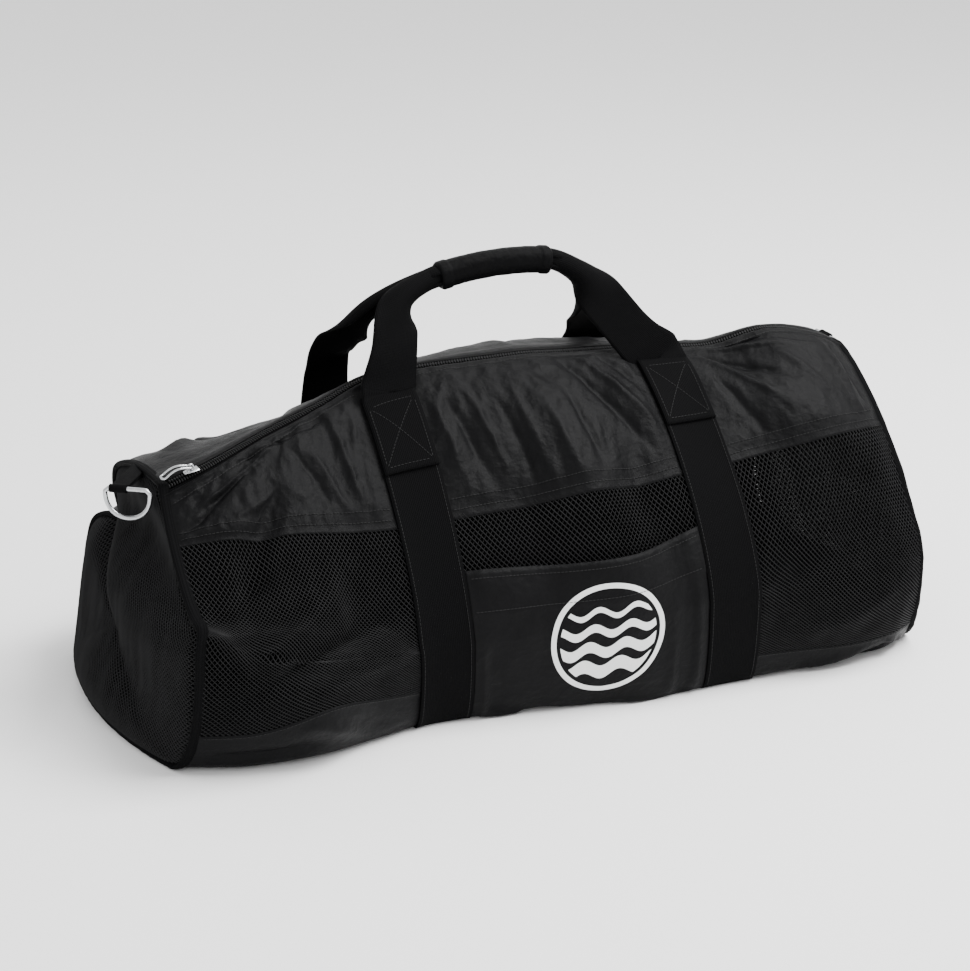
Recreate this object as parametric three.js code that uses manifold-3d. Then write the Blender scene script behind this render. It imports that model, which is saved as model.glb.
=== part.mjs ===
// Mesh dive gear bag, in millimetres: X runs along the bag, -Y is its front and Z is up.
// The cloth is a set of thin walls on one surface, which the section table describes.
import * as THREE from 'three';
import Module from 'manifold-3d';
import { mergeVertices } from 'three/addons/utils/BufferGeometryUtils.js';

// Driving dimensions
const clothThickness = 1.5;
const webThickness = 1.8;
const webWidth = 50;
const layerGap = 0.3;
const seamGap = 0.3;
const bindingWidth = 8;
const zipChainHalf = 2.8;
const zipTapeHalf = 15;
const stationStep = 21;
const leftEndX = -345;
const rightEndX = 362;
const leftStrapX = -108;
const rightStrapX = 156;
const centreX = 3.8;
const centreY = -15.1;
const baseZ = webThickness + layerGap;
const lowerPower = 2.2;
const bowHeight = 110;
const bowReach = 150;

// One row per cross-section: the zip ridge, the front belly and base, the back belly and base,
// how round each upper side is, and the heights of the nylon seam, pocket mouth and base panel.
const sectionColumns = [
  'x', 'lean', 'bow', 'top', 'zipY', 'front', 'frontZ', 'frontBase', 'back', 'backZ', 'backBase',
  'frontPower', 'backPower', 'seam', 'pocket', 'border',
];
const sectionRows = [
  [-345, 26, 27, 214, -52, 176, 128, 140, 138, 74, 118, 0.82, 2.6, 175, 112, 34],
  [-300, 20, 20, 226, -50, 190, 116, 162, 156, 90, 125, 0.95, 2.0, 180, 114, 38],
  [-230, 8, 8, 242, -34, 192, 98, 168, 165, 100, 130, 1.12, 1.5, 181, 118, 52],
  [-170, 3, 3, 256, -20, 176, 84, 158, 166, 105, 128, 1.2, 1.4, 174, 124, 42],
  [-110, 0, 0, 272, -10, 162, 70, 147, 168, 110, 125, 1.35, 1.35, 172, 131, 34],
  [25, 0, 0, 277, -18, 182, 80, 166, 168, 115, 125, 1.5, 2.2, 186, 132, 34],
  [70, 0, 0, 274, -17, 189, 82, 177, 168, 115, 125, 1.5, 2.2, 188, 135, 32],
  [155, 0, 0, 267, -14, 190, 84, 176, 168, 115, 125, 1.42, 2.0, 189, 150, 26],
  [215, -1, 3, 263, -20, 195, 84, 176, 165, 112, 123, 1.52, 1.5, 197, 148, 24],
  [270, -3, 8, 275, -30, 198, 84, 174, 160, 110, 120, 1.6, 1.4, 206, 145, 22],
  [330, -10, 14, 266, -36, 193, 86, 164, 152, 105, 115, 1.5, 1.8, 205, 140, 22],
  [362, -17, 20, 254, -40, 180, 86, 138, 142, 100, 105, 1.36, 1.9, 199, 136, 20],
];

// Main dents and folds: where each lies, its reach each way, its slant and its depth outwards.
const foldColumns = ['x', 'line', 'reachX', 'reachLine', 'slant', 'depth'];
const foldRows = [
  [-345, -0.63, 44, 0.13, 0, -40],
  [-345, 0.86, 40, 0.1, 0, 8],
  [-282, 0.55, 60, 0.1, -0.5, -9],
  [-236, 0.3, 70, 0.08, -0.16, 6],
  [-175, 0.78, 45, 0.12, 0.3, -6],
  [-20, 0.62, 26, 0.3, 0.5, -6],
  [38, 0.55, 24, 0.3, 0.6, 5],
  [92, 0.6, 26, 0.28, 0.7, -8],
  [232, 0.35, 60, 0.1, 0.2, 6],
  [268, 0.62, 70, 0.1, 0.12, -6],
  [-255, 1.35, 55, 0.3, 0, 7],
  [300, 1.3, 45, 0.3, 0, 5],
];

function asRow(columns, values) {
  return Object.fromEntries(columns.map((column, index) => [column, values[index]]));
}

const sections = sectionRows.map((values) => asRow(sectionColumns, values));
const folds = foldRows.map((values) => asRow(foldColumns, values));

// A cubic through the rows gives each column between them.
function slopeAt(column, index) {
  const before = sections[Math.max(index - 1, 0)];
  const after = sections[Math.min(index + 1, sections.length - 1)];
  return (after[column] - before[column]) / (after.x - before.x);
}

function columnAt(column, x) {
  let index = sections.findIndex((row) => row.x > x) - 1;
  if (index < 0) index = x < leftEndX ? 0 : sections.length - 2;
  const low = sections[index];
  const high = sections[index + 1];
  const span = high.x - low.x;
  const t = (x - low.x) / span;
  const rise = 3 * t * t - 2 * t * t * t;
  const lowPull = (t - 2 * t * t + t * t * t) * span * slopeAt(column, index);
  const highPull = (t * t * t - t * t) * span * slopeAt(column, index + 1);
  return low[column] * (1 - rise) + high[column] * rise + lowPull + highPull;
}

// Line 0 is the zip, 1 the belly, 2 the edge of the base and 3 its middle; the back is negative.
function plainPoint(x, line) {
  const wrapped = line > 3 ? line - 6 : line < -3 ? line + 6 : line;
  const inFront = wrapped >= 0;
  const side = inFront ? -1 : 1;
  const step = Math.abs(wrapped);
  const top = columnAt('top', x);
  const ridge = columnAt('zipY', x) * side;
  const belly = columnAt(inFront ? 'front' : 'back', x);
  const bellyZ = columnAt(inFront ? 'frontZ' : 'backZ', x);
  const base = columnAt(inFront ? 'frontBase' : 'backBase', x);
  const power = columnAt(inFront ? 'frontPower' : 'backPower', x);
  let reach = base * (3 - step);
  let height = 0;
  if (step <= 1) {
    const turn = step * Math.PI / 2;
    reach = ridge + (belly - ridge) * Math.sin(turn) ** (2 / power);
    height = bellyZ + (top - bellyZ) * Math.max(Math.cos(turn), 0) ** (2 / power);
  } else if (step <= 2) {
    const turn = (step - 1) * Math.PI / 2;
    reach = base + (belly - base) * Math.max(Math.cos(turn), 0) ** (2 / lowerPower);
    height = bellyZ * (1 - Math.sin(turn) ** (2 / lowerPower));
  }
  const bow = columnAt('bow', x) * (1 - (reach / bowReach) ** 2) * Math.max(1 - height / bowHeight, 0);
  const lean = columnAt('lean', x) * height / sections[0].top;
  return new THREE.Vector3(x + lean + Math.sign(x) * bow, reach * side, height + baseZ);
}

function normalOf(surface, x, line) {
  const alongX = surface(x + 0.5, line).sub(surface(x - 0.5, line));
  const alongLine = surface(x, line + 0.004).sub(surface(x, line - 0.004));
  return alongLine.cross(alongX).normalize();
}

function foldDepth(x, line) {
  let depth = 0;
  for (const fold of folds) {
    const across = (line - fold.line - fold.slant * (x - fold.x) / 100) / fold.reachLine;
    const along = (x - fold.x) / fold.reachX;
    depth += fold.depth * Math.exp(-across * across - along * along);
  }
  return depth;
}

function clothPoint(x, line) {
  const point = plainPoint(x, line);
  const depth = foldDepth(x, line);
  if (Math.abs(depth) < 0.01) return point;
  return point.addScaledVector(normalOf(plainPoint, x, line), depth);
}

// A point on the cloth's outer face, or off it by an offset along the face's normal.
function layerPoint(x, line, offset) {
  return clothPoint(x, line).addScaledVector(normalOf(clothPoint, x, line), offset);
}

// Lines that run along the bag, each a function from x to its place round the section
function lineAtReach(x, distance, inFront) {
  const ridge = columnAt('zipY', x) * (inFront ? -1 : 1);
  const span = columnAt(inFront ? 'front' : 'back', x) - ridge;
  const power = columnAt(inFront ? 'frontPower' : 'backPower', x);
  return Math.asin((distance / span) ** (power / 2)) / (Math.PI / 2);
}

function upperLineAtHeight(x, height) {
  const bellyZ = columnAt('frontZ', x);
  const ratio = (height - bellyZ) / (columnAt('top', x) - bellyZ);
  return Math.acos(ratio ** (columnAt('frontPower', x) / 2)) / (Math.PI / 2);
}

function lowerLineAtHeight(x, height, bellyColumn) {
  const ratio = 1 - height / columnAt(bellyColumn, x);
  return 1 + Math.asin(ratio ** (lowerPower / 2)) / (Math.PI / 2);
}

function lineAtHeight(x, height) {
  if (height > columnAt('frontZ', x)) return upperLineAtHeight(x, height);
  return lowerLineAtHeight(x, height, 'frontZ');
}

const backBorderHeight = 24;
const zipFrontLine = (x) => lineAtReach(x, zipTapeHalf, true);
const zipBackLine = (x) => -lineAtReach(x, zipTapeHalf, false);
const seamLine = (x) => upperLineAtHeight(x, columnAt('seam', x));
const pocketLine = (x) => lineAtHeight(x, columnAt('pocket', x));
const borderLine = (x) => lowerLineAtHeight(x, columnAt('border', x), 'frontZ');
const backBorderLine = (x) => -lowerLineAtHeight(x, backBorderHeight, 'backZ');
const fixedLine = (line) => () => line;

function between(first, last, share) {
  return (x) => first(x) * (1 - share) + last(x) * share;
}

function moved(line, distance) {
  return (x) => {
    const place = line(x);
    const speed = clothPoint(x, place + 0.002).distanceTo(clothPoint(x, place - 0.002)) / 0.004;
    return place + distance / speed;
  };
}

const upperShares = [0.12, 0.3, 0.5, 0.7];
const upperLines = upperShares.map((share) => between(zipFrontLine, seamLine, share));
const meshUpperLines = [0.34, 0.67].map((share) => between(seamLine, pocketLine, share));
const meshLowerLines = [0.33, 0.67].map((share) => between(pocketLine, borderLine, share));
const baseLines = [1.86, 2, 2.3].map((line) => (x) => Math.max(line, borderLine(x) + 0.04));
const backBaseLines = [-2.5, -2, -1.86].map(fixedLine);
const backShares = [0.14, 0.3, 0.45, 0.58, 0.67, 0.76, 0.88];
const backLines = backShares.map((share) => between(backBorderLine, zipBackLine, share));

// Places along X, with a pair at the edges of each strap
function spread(from, to) {
  const count = Math.round((to - from) / stationStep);
  return Array.from({ length: count + 1 }, (_, index) => from + (to - from) * index / count);
}

const strapPlaces = (x) => [x - webWidth / 2, x, x + webWidth / 2];
const leftEndPlaces = [leftEndX, leftEndX + bindingWidth, leftEndX + 20];
const rightEndPlaces = [rightEndX - 20, rightEndX - bindingWidth, rightEndX];
const places = [
  ...leftEndPlaces,
  ...spread(leftEndX + 20, leftStrapX - webWidth / 2).slice(1, -1),
  ...strapPlaces(leftStrapX),
  ...spread(leftStrapX + webWidth / 2, rightStrapX - webWidth / 2).slice(1, -1),
  ...strapPlaces(rightStrapX),
  ...spread(rightStrapX + webWidth / 2, rightEndX - 20).slice(1, -1),
  ...rightEndPlaces,
];

// Closed meshes from rings of points: each ring is a loop, and neighbouring rings are joined.
function closedGeometry(points, triangles) {
  const flat = points.flatMap((point) => [point.x, point.y, point.z]);
  let volume = 0;
  for (const [a, b, c] of triangles) {
    volume += points[a].dot(new THREE.Vector3().crossVectors(points[b], points[c]));
  }
  const outward = volume > 0 ? triangles : triangles.map(([a, b, c]) => [a, c, b]);
  const geometry = new THREE.BufferGeometry();
  geometry.setAttribute('position', new THREE.Float32BufferAttribute(flat, 3));
  geometry.setIndex(outward.flat());
  geometry.computeVertexNormals();
  return geometry;
}

// A layered ring is an outer row and an inner row, and both are split along the same diagonals,
// so that the faces of cloth lying on cloth stay parallel.
function loft(rings, { closed = false, layered = false, mirrored = false } = {}) {
  const size = rings[0].length;
  const triangles = [];
  const steps = closed ? rings.length : rings.length - 1;
  for (let i = 0; i < steps; i += 1) {
    const here = i * size;
    const next = ((i + 1) % rings.length) * size;
    for (let j = 0; j < size; j += 1) {
      const k = (j + 1) % size;
      if (layered && (j < size / 2) === mirrored) {
        triangles.push([here + j, here + k, next + j], [here + k, next + k, next + j]);
      } else {
        triangles.push([here + j, here + k, next + k], [here + j, next + k, next + j]);
      }
    }
  }
  if (!closed) {
    const last = (rings.length - 1) * size;
    for (let j = 0; j < size / 2 - 1; j += 1) {
      const inner = size - 1 - j;
      triangles.push([j, inner, inner - 1], [j, inner - 1, j + 1]);
      triangles.push([last + j, last + inner - 1, last + inner], [last + j, last + j + 1, last + inner - 1]);
    }
  }
  return closedGeometry(rings.flat(), triangles);
}

// A wall of cloth over the given places and lines, between two offsets from the cloth's face
function wall(xPlaces, lines, outside, inside) {
  const rings = xPlaces.map((x) => {
    const outer = lines.map((line) => layerPoint(x, line(x), outside));
    const inner = lines.map((line) => layerPoint(x, line(x), inside));
    return [...outer, ...inner.reverse()];
  });
  return loft(rings, { layered: true });
}

// A domed end: rings shrink to the middle, pushed out low down and caved in under the top edge.
const endShapes = {
  left: { x: leftEndX, side: -1, bulge: 24, cave: 30, middleY: -16, middleZ: 84 },
  right: { x: rightEndX, side: 1, bulge: 16, cave: 4, middleY: -18, middleZ: 100 },
};
const ringShares = [1, 0.975, 0.86, 0.66, 0.38];
const endGap = 0.7;
const caveHeight = 172;
const caveSpread = 36;

function endPoint(shape, edge, share, offset) {
  const middleX = clothPoint(shape.x, 1).x;
  const rise = shape.middleZ + (edge.z - shape.middleZ) * share;
  const fullness = share > 0.97 ? 0 : Math.sqrt(1 - share * share);
  const cave = shape.cave * Math.exp(-(((rise - caveHeight) / caveSpread) ** 2));
  const push = (shape.bulge - cave) * fullness;
  return new THREE.Vector3(
    middleX + (edge.x - middleX) * Math.min(share * 1.02, 1) + shape.side * (push + endGap + offset),
    shape.middleY + (edge.y - shape.middleY) * share,
    Math.max(rise, baseZ),
  );
}

function endPanel(shape, loopLines) {
  const edges = loopLines.map((line) => clothPoint(shape.x, line(shape.x)));
  const size = edges.length;
  const points = [];
  for (const offset of [clothThickness, 0]) {
    for (const share of ringShares) {
      points.push(...edges.map((edge) => endPoint(shape, edge, share, offset)));
    }
    points.push(endPoint(shape, edges[0], 0, offset));
  }
  const layer = ringShares.length * size + 1;
  const triangles = [];
  for (let j = 0; j < size; j += 1) {
    const k = (j + 1) % size;
    for (let ring = 0; ring < ringShares.length - 1; ring += 1) {
      const a = ring * size;
      const b = a + size;
      for (const [p, q, r] of [[a + j, a + k, b + k], [a + j, b + k, b + j]]) {
        triangles.push([p, q, r], [layer + p, layer + r, layer + q]);
      }
    }
    const a = (ringShares.length - 1) * size;
    triangles.push([a + j, a + k, layer - 1], [layer + a + j, 2 * layer - 1, layer + a + k]);
    triangles.push([j, layer + j, layer + k], [j, layer + k, k]);
  }
  return closedGeometry(points, triangles);
}

function endBinding(shape, loopLines) {
  const low = layerGap;
  const high = layerGap + webThickness;
  const inset = shape.x - shape.side * bindingWidth;
  const overhang = shape.side * (clothThickness + endGap);
  const rings = loopLines.map((line) => {
    const row = (offset) => {
      const edge = layerPoint(shape.x, line(shape.x), offset);
      return [layerPoint(inset, line(inset), offset), edge, edge.clone().setX(edge.x + overhang)];
    };
    return [...row(high), ...row(low).reverse()];
  });
  return loft(rings, { closed: true, layered: true, mirrored: shape.side < 0 });
}

// Handles: webbing sewn over a strap, then free to the grip, where it is gathered narrow and thick
const gripHalf = 58;
const legWidth = 42;
const gatheredWidth = 16;
const gatheredThickness = 2.8;
const sewnOffset = 2 * layerGap + 1.5 * webThickness;
const handleShapes = {
  front: {
    face: new THREE.Vector3(0, -1, 0),
    sewnLines: [upperLines[3], upperLines[2], upperLines[1], upperLines[0]],
    gatherFrom: 300,
    gatherTo: 350,
    leftLeg: [[-105, -33, 276], [-99, -29, 298], [-92, -20, 324], [-80, -11, 341]],
    rightLeg: [[93, -8, 341], [112, -20, 314], [138, -37, 280]],
    gripY: -3,
  },
  back: {
    face: new THREE.Vector3(0, 1, 0),
    sewnLines: [backLines[3], backLines[4], backLines[5]],
    gatherFrom: 252,
    gatherTo: 300,
    leftLeg: [[-111, 108, 246], [-114, 88, 269], [-108, 60, 298], [-97, 38, 321], [-78, 18, 339]],
    rightLeg: [[96, 17, 338], [116, 42, 314], [136, 76, 282], [149, 104, 252]],
    gripY: 3,
  },
};
const gripX = 8;
const gripTop = 360.5;
const gripRise = 5.5;
const gripTilt = 2;
const gripArc = [-1, -0.5, 0, 0.5, 1].map((side) => [
  gripX + side * gripHalf,
  gripTop - gripRise * side * side + gripTilt * side,
]);

function handleGeometry(shape) {
  const sewn = (x) => shape.sewnLines.map((line) => ({
    spine: strapPlaces(x).map((place) => layerPoint(place, line(x), sewnOffset)),
    normal: normalOf(clothPoint, x, line(x)),
  }));
  const leftSewn = sewn(leftStrapX);
  const rightSewn = sewn(rightStrapX).reverse();
  const route = new THREE.CatmullRomCurve3([
    leftSewn.at(-1).spine[1],
    ...shape.leftLeg.map((point) => new THREE.Vector3(...point)),
    ...gripArc.map(([x, z]) => new THREE.Vector3(x, shape.gripY, z)),
    ...shape.rightLeg.map((point) => new THREE.Vector3(...point)),
    rightSewn[0].spine[1],
  ], false, 'centripetal');
  const steps = 30;
  const free = [];
  for (let i = 1; i < steps; i += 1) {
    const middle = route.getPointAt(i / steps);
    const along = route.getTangentAt(i / steps);
    const near = Math.min(i, steps - i) / 4;
    const sewnNormal = (i < steps / 2 ? leftSewn.at(-1) : rightSewn[0]).normal;
    const normal = sewnNormal.clone().lerp(shape.face, Math.min(near, 1));
    const across = along.clone().cross(normal).normalize();
    const face = across.clone().cross(along).normalize();
    const gather = THREE.MathUtils.smoothstep(middle.z, shape.gatherFrom, shape.gatherTo);
    const sewnWidth = THREE.MathUtils.lerp(webWidth, legWidth, Math.min(near, 1));
    const width = THREE.MathUtils.lerp(sewnWidth, gatheredWidth, gather);
    const thickness = THREE.MathUtils.lerp(webThickness, gatheredThickness, gather);
    free.push([-1, 0, 1].map((side) => ({
      centre: middle.clone().addScaledVector(across, side * width / 2),
      half: face.clone().multiplyScalar(thickness / 2),
    })));
  }
  const sewnRow = ({ spine, normal }, flip) => {
    const row = spine.map((centre) => ({ centre, half: normal.clone().multiplyScalar(webThickness / 2) }));
    return flip ? row.reverse() : row;
  };
  const turned = shape.face.y > 0;
  const rows = [
    ...leftSewn.map((row) => sewnRow(row, turned)),
    ...free,
    ...rightSewn.map((row) => sewnRow(row, !turned)),
  ];
  return loft(rows.map((row) => [
    ...row.map(({ centre, half }) => centre.clone().add(half)),
    ...row.map(({ centre, half }) => centre.clone().sub(half)).reverse(),
  ]), { layered: true, mirrored: true });
}

// The padded grip is a sleeve with an open middle for both handles.
const gripOuter = { y: 11.5, z: 12 };
const gripInner = { y: 5.8, z: 10 };
const gripSides = 12;

function gripGeometry() {
  const arc = new THREE.CatmullRomCurve3(gripArc.map(([x, z]) => new THREE.Vector3(x, 0, z)));
  const steps = 10;
  const outerRings = [];
  const innerRings = [];
  for (let i = 0; i <= steps; i += 1) {
    const share = 0.03 + 0.94 * i / steps;
    const middle = arc.getPointAt(share);
    const along = arc.getTangentAt(share);
    const up = new THREE.Vector3(0, 1, 0).cross(along).negate();
    const swell = i === 0 || i === steps ? 0.9 : 1;
    const ring = (size, power) => Array.from({ length: gripSides }, (_, side) => {
      const turn = (side + 0.5) * 2 * Math.PI / gripSides;
      const y = Math.sign(Math.cos(turn)) * Math.abs(Math.cos(turn)) ** power * size.y;
      const z = Math.sign(Math.sin(turn)) * Math.abs(Math.sin(turn)) ** power * size.z;
      return middle.clone().add(new THREE.Vector3(0, y, 0)).addScaledVector(up, z);
    });
    outerRings.push(ring({ y: gripOuter.y * swell, z: gripOuter.z * swell }, 0.9));
    innerRings.push(ring(gripInner, 0.35));
  }
  return loft([...outerRings, ...innerRings.reverse()], { closed: true });
}

// Round wire along a closed or open path, from rings of a few sides
function wire(path, radius, sides, closed) {
  const frames = path.map((point, index) => {
    const before = path[closed ? (index + path.length - 1) % path.length : Math.max(index - 1, 0)];
    const after = path[closed ? (index + 1) % path.length : Math.min(index + 1, path.length - 1)];
    return { point, along: after.clone().sub(before).normalize() };
  });
  return (flatNormal) => loft(frames.map(({ point, along }) => {
    const across = along.clone().cross(flatNormal).normalize();
    return Array.from({ length: sides }, (_, side) => {
      const turn = (side + 0.5) * 2 * Math.PI / sides;
      return point.clone()
        .addScaledVector(across, Math.cos(turn) * radius)
        .addScaledVector(flatNormal, Math.sin(turn) * radius);
    });
  }), { closed });
}

// D-ring in its own frame: the bar lies on X through the origin and the bow hangs down -Z.
const ringBar = 40;
const ringDrop = 26;
const ringWire = 2;

function ringGeometry() {
  const bow = Array.from({ length: 11 }, (_, index) => {
    const turn = Math.PI * index / 10;
    return new THREE.Vector3(
      ringBar / 2 * Math.cos(turn),
      0,
      -3 - (ringDrop - 3) * Math.sin(turn) ** 0.8,
    );
  });
  const bar = [-17, -6, 6, 17].map((x) => new THREE.Vector3(x, 0, 0));
  return wire([...bar, ...bow], ringWire, 8, true)(new THREE.Vector3(0, 1, 0));
}

// The tab is a loop of narrow tape round the bar, in the ring's frame. Its two tails run to the
// end seam, where they are cut along the seam's direction.
const tabWidth = 15;
const tabThickness = 1.4;
const tabBore = ringWire + 0.35;
const tailGap = 0.2;
const loopSteps = 8;

function tabGeometry({ tabX, tailEnd, tailSkew }) {
  const profile = (radius, tail, x) => {
    const end = tailEnd + tailSkew * x;
    const arc = Array.from({ length: loopSteps + 1 }, (_, index) => {
      const turn = -Math.PI / 2 - Math.PI * index / loopSteps;
      return [Math.cos(turn) * radius, Math.sin(turn) * radius];
    });
    const outline = [[end, -tail], [5, -tail], ...arc, [5, tail], [end, tail]];
    return outline.map(([y, z]) => new THREE.Vector3(x, y, z));
  };
  const rings = [tabX - tabWidth / 2, tabX + tabWidth / 2].map((x) => [
    ...profile(tabBore + tabThickness, tailGap + tabThickness, x),
    ...profile(tabBore, tailGap, x).reverse(),
  ]);
  return loft(rings, { layered: true });
}

// Joins two closed geometries into one
const wasm = await Module();
wasm.setup();

function asSolid(geometry) {
  const plain = geometry.clone();
  plain.deleteAttribute('normal');
  plain.deleteAttribute('uv');
  const merged = mergeVertices(plain);
  const vertProperties = Float32Array.from(merged.attributes.position.array);
  const triVerts = Uint32Array.from(merged.index.array);
  return new wasm.Manifold(new wasm.Mesh({ numProp: 3, vertProperties, triVerts }));
}

function joined(first, second) {
  const mesh = asSolid(first).add(asSolid(second)).getMesh();
  const geometry = new THREE.BufferGeometry();
  geometry.setAttribute('position', new THREE.BufferAttribute(Float32Array.from(mesh.vertProperties), 3));
  geometry.setIndex(Array.from(mesh.triVerts));
  geometry.computeVertexNormals();
  return geometry;
}

// Zip slider: a plate over the teeth with a bridge whose eye holds the pull
const slider = { length: 13, width: 9, plate: 1.5, bridge: 8, bridgeWidth: 3, rise: 4.6, eye: 1.5 };
const pull = { length: 24, hingeHalf: 3.4, endHalf: 4.6, arch: 3.5, wire: 1 };

function sliderGeometry() {
  const plate = new THREE.BoxGeometry(slider.length, slider.width, slider.plate);
  plate.translate(0, 0, slider.plate / 2);
  const outline = new THREE.Shape();
  outline.moveTo(-slider.bridge / 2, slider.plate / 2);
  outline.lineTo(slider.bridge / 2, slider.plate / 2);
  outline.lineTo(slider.bridge / 2 - 1, slider.plate + slider.rise);
  outline.lineTo(-slider.bridge / 2 + 1, slider.plate + slider.rise);
  outline.closePath();
  const eye = new THREE.Path();
  eye.absarc(0, slider.plate + slider.rise / 2, slider.eye, 0, 2 * Math.PI, true);
  outline.holes.push(eye);
  const bridge = new THREE.ExtrudeGeometry(outline, {
    depth: slider.bridgeWidth, bevelEnabled: false, curveSegments: 8,
  });
  bridge.translate(0, 0, -slider.bridgeWidth / 2);
  bridge.rotateX(Math.PI / 2);
  return joined(plate, bridge);
}

// The pull is a wire loop: its short side lies on Y through the eye, and it runs back along -X.
function pullGeometry() {
  const side = (sign) => [0.25, 0.5, 0.75].map((share) => new THREE.Vector3(
    -pull.length * share,
    sign * THREE.MathUtils.lerp(pull.hingeHalf, pull.endHalf, share),
    pull.arch * Math.sin(share * Math.PI),
  ));
  const end = [-0.8, 0, 0.8].map((y) => new THREE.Vector3(-pull.length, y * pull.endHalf, 0.4));
  const hinge = [1, 0, -1].map((y) => new THREE.Vector3(0, y * (pull.hingeHalf - 0.6), 0));
  const path = [...hinge, ...side(-1), ...end, ...side(1).reverse()];
  return wire(path, pull.wire, 6, true)(new THREE.Vector3(0, 0, 1));
}

const materials = {
  nylon: { color: 0x2b2b2d, roughness: 0.55, metalness: 0 },
  mesh: { color: 0x161617, roughness: 0.85, metalness: 0 },
  webbing: { color: 0x121213, roughness: 0.8, metalness: 0 },
  coil: { color: 0x1c1c1e, roughness: 0.5, metalness: 0 },
  metal: { color: 0xd0d2d4, roughness: 0.25, metalness: 1 },
};

const bag = new THREE.Group();
bag.position.set(-centreX, -centreY, 0);

function addPiece(name, geometry, finish, holder = bag) {
  const piece = new THREE.Mesh(geometry, new THREE.MeshStandardMaterial(materials[finish]));
  piece.name = name;
  holder.add(piece);
  return piece;
}

// Cloth panels, each held half a seam gap from its neighbour
const half = seamGap / 2;
const frontUpperLines = [moved(zipFrontLine, half), ...upperLines, moved(seamLine, -half)];
const frontMeshLines = [
  moved(seamLine, half), ...meshUpperLines, pocketLine, ...meshLowerLines, moved(borderLine, -half),
];
const bottomLines = [moved(borderLine, half), ...baseLines, fixedLine(3)];
const bottomBackLines = [...backBaseLines, moved(backBorderLine, -half)];
const backPanelLines = [moved(backBorderLine, half), ...backLines, moved(zipBackLine, -half)];

// The base runs through its middle line, so the lines behind it carry on past 3.
const pastMiddle = (line) => (x) => line(x) + 6;
const wholeBottomLines = [...bottomLines, ...bottomBackLines.map(pastMiddle)];

addPiece('front_upper_panel', wall(places, frontUpperLines, 0, -clothThickness), 'nylon');
addPiece('front_mesh_panel', wall(places, frontMeshLines, 0, -clothThickness), 'mesh');
addPiece('bottom_panel', wall(places, wholeBottomLines, 0, -clothThickness), 'nylon');
addPiece('back_panel', wall(places, backPanelLines, 0, -clothThickness), 'nylon');

// Ends and their bindings follow every line round the section once
const chainReach = zipChainHalf + seamGap;
const loopLines = [
  fixedLine(0), (x) => lineAtReach(x, chainReach, true), zipFrontLine, ...upperLines, seamLine,
  ...meshUpperLines, pocketLine, ...meshLowerLines, borderLine, ...baseLines, fixedLine(3),
  ...backBaseLines, backBorderLine, ...backLines, zipBackLine, (x) => -lineAtReach(x, chainReach, false),
];
addPiece('left_end_panel', endPanel(endShapes.left, loopLines), 'mesh');
addPiece('right_end_panel', endPanel(endShapes.right, loopLines), 'mesh');
addPiece('left_end_binding', endBinding(endShapes.left, loopLines), 'webbing');
addPiece('right_end_binding', endBinding(endShapes.right, loopLines), 'webbing');

// The pocket lies on the mesh between the straps, from its mouth down to the edge of the base.
const pocketLines = [pocketLine, ...meshLowerLines, borderLine, baseLines[0], fixedLine(1.98)];
const pocketEdge = webWidth / 2 + seamGap;
const pocketPlaces = [
  leftStrapX + pocketEdge,
  ...places.filter((x) => x > leftStrapX + webWidth / 2 && x < rightStrapX - webWidth / 2),
  rightStrapX - pocketEdge,
];
addPiece('front_pocket', wall(pocketPlaces, pocketLines, layerGap + clothThickness, layerGap), 'nylon');

// Straps share the panels' lines, so that their faces stay parallel.
const strapLines = [
  ...upperLines, seamLine, ...meshUpperLines, pocketLine, ...meshLowerLines, borderLine, ...baseLines,
  fixedLine(3), ...[...backBaseLines, backBorderLine, ...backLines.slice(0, -1)].map(pastMiddle),
];
addPiece('left_strap', wall(strapPlaces(leftStrapX), strapLines, baseZ, layerGap), 'webbing');
addPiece('right_strap', wall(strapPlaces(rightStrapX), strapLines, baseZ, layerGap), 'webbing');
addPiece('front_handle', handleGeometry(handleShapes.front), 'webbing');
addPiece('back_handle', handleGeometry(handleShapes.back), 'webbing');
addPiece('grip_wrap', gripGeometry(), 'webbing');

// Zip: two tapes and a chain of teeth between them
const tapeLines = (side) => [zipTapeHalf - seamGap, chainReach].map(
  (distance) => (x) => side * lineAtReach(x, distance, side > 0),
);
const chainLines = [-1, 0, 1].map((side) => (x) => side * lineAtReach(x, zipChainHalf, side > 0));
const chainPlaces = places.slice(2, -2);
addPiece('zip_tape_front', wall(places, tapeLines(1), 0, -clothThickness), 'webbing');
addPiece('zip_tape_back', wall(places, tapeLines(-1), 0, -clothThickness), 'webbing');
addPiece('zip_chain', wall(chainPlaces, chainLines, 0.9, -clothThickness), 'coil');

// Slider and pull stand on the chain near its left end.
const sliderX = -316;
const sliderLift = 1.4;
const sliderSeat = layerPoint(sliderX, 0, 0);
const sliderHolder = new THREE.Group();
sliderHolder.position.set(sliderSeat.x, sliderSeat.y, sliderSeat.z + sliderLift);
sliderHolder.rotation.y = -0.24;
bag.add(sliderHolder);
addPiece('zip_slider', sliderGeometry(), 'metal', sliderHolder);
const pullPiece = addPiece('zip_pull', pullGeometry(), 'metal', sliderHolder);
pullPiece.position.z = slider.plate + slider.rise / 2;

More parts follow.
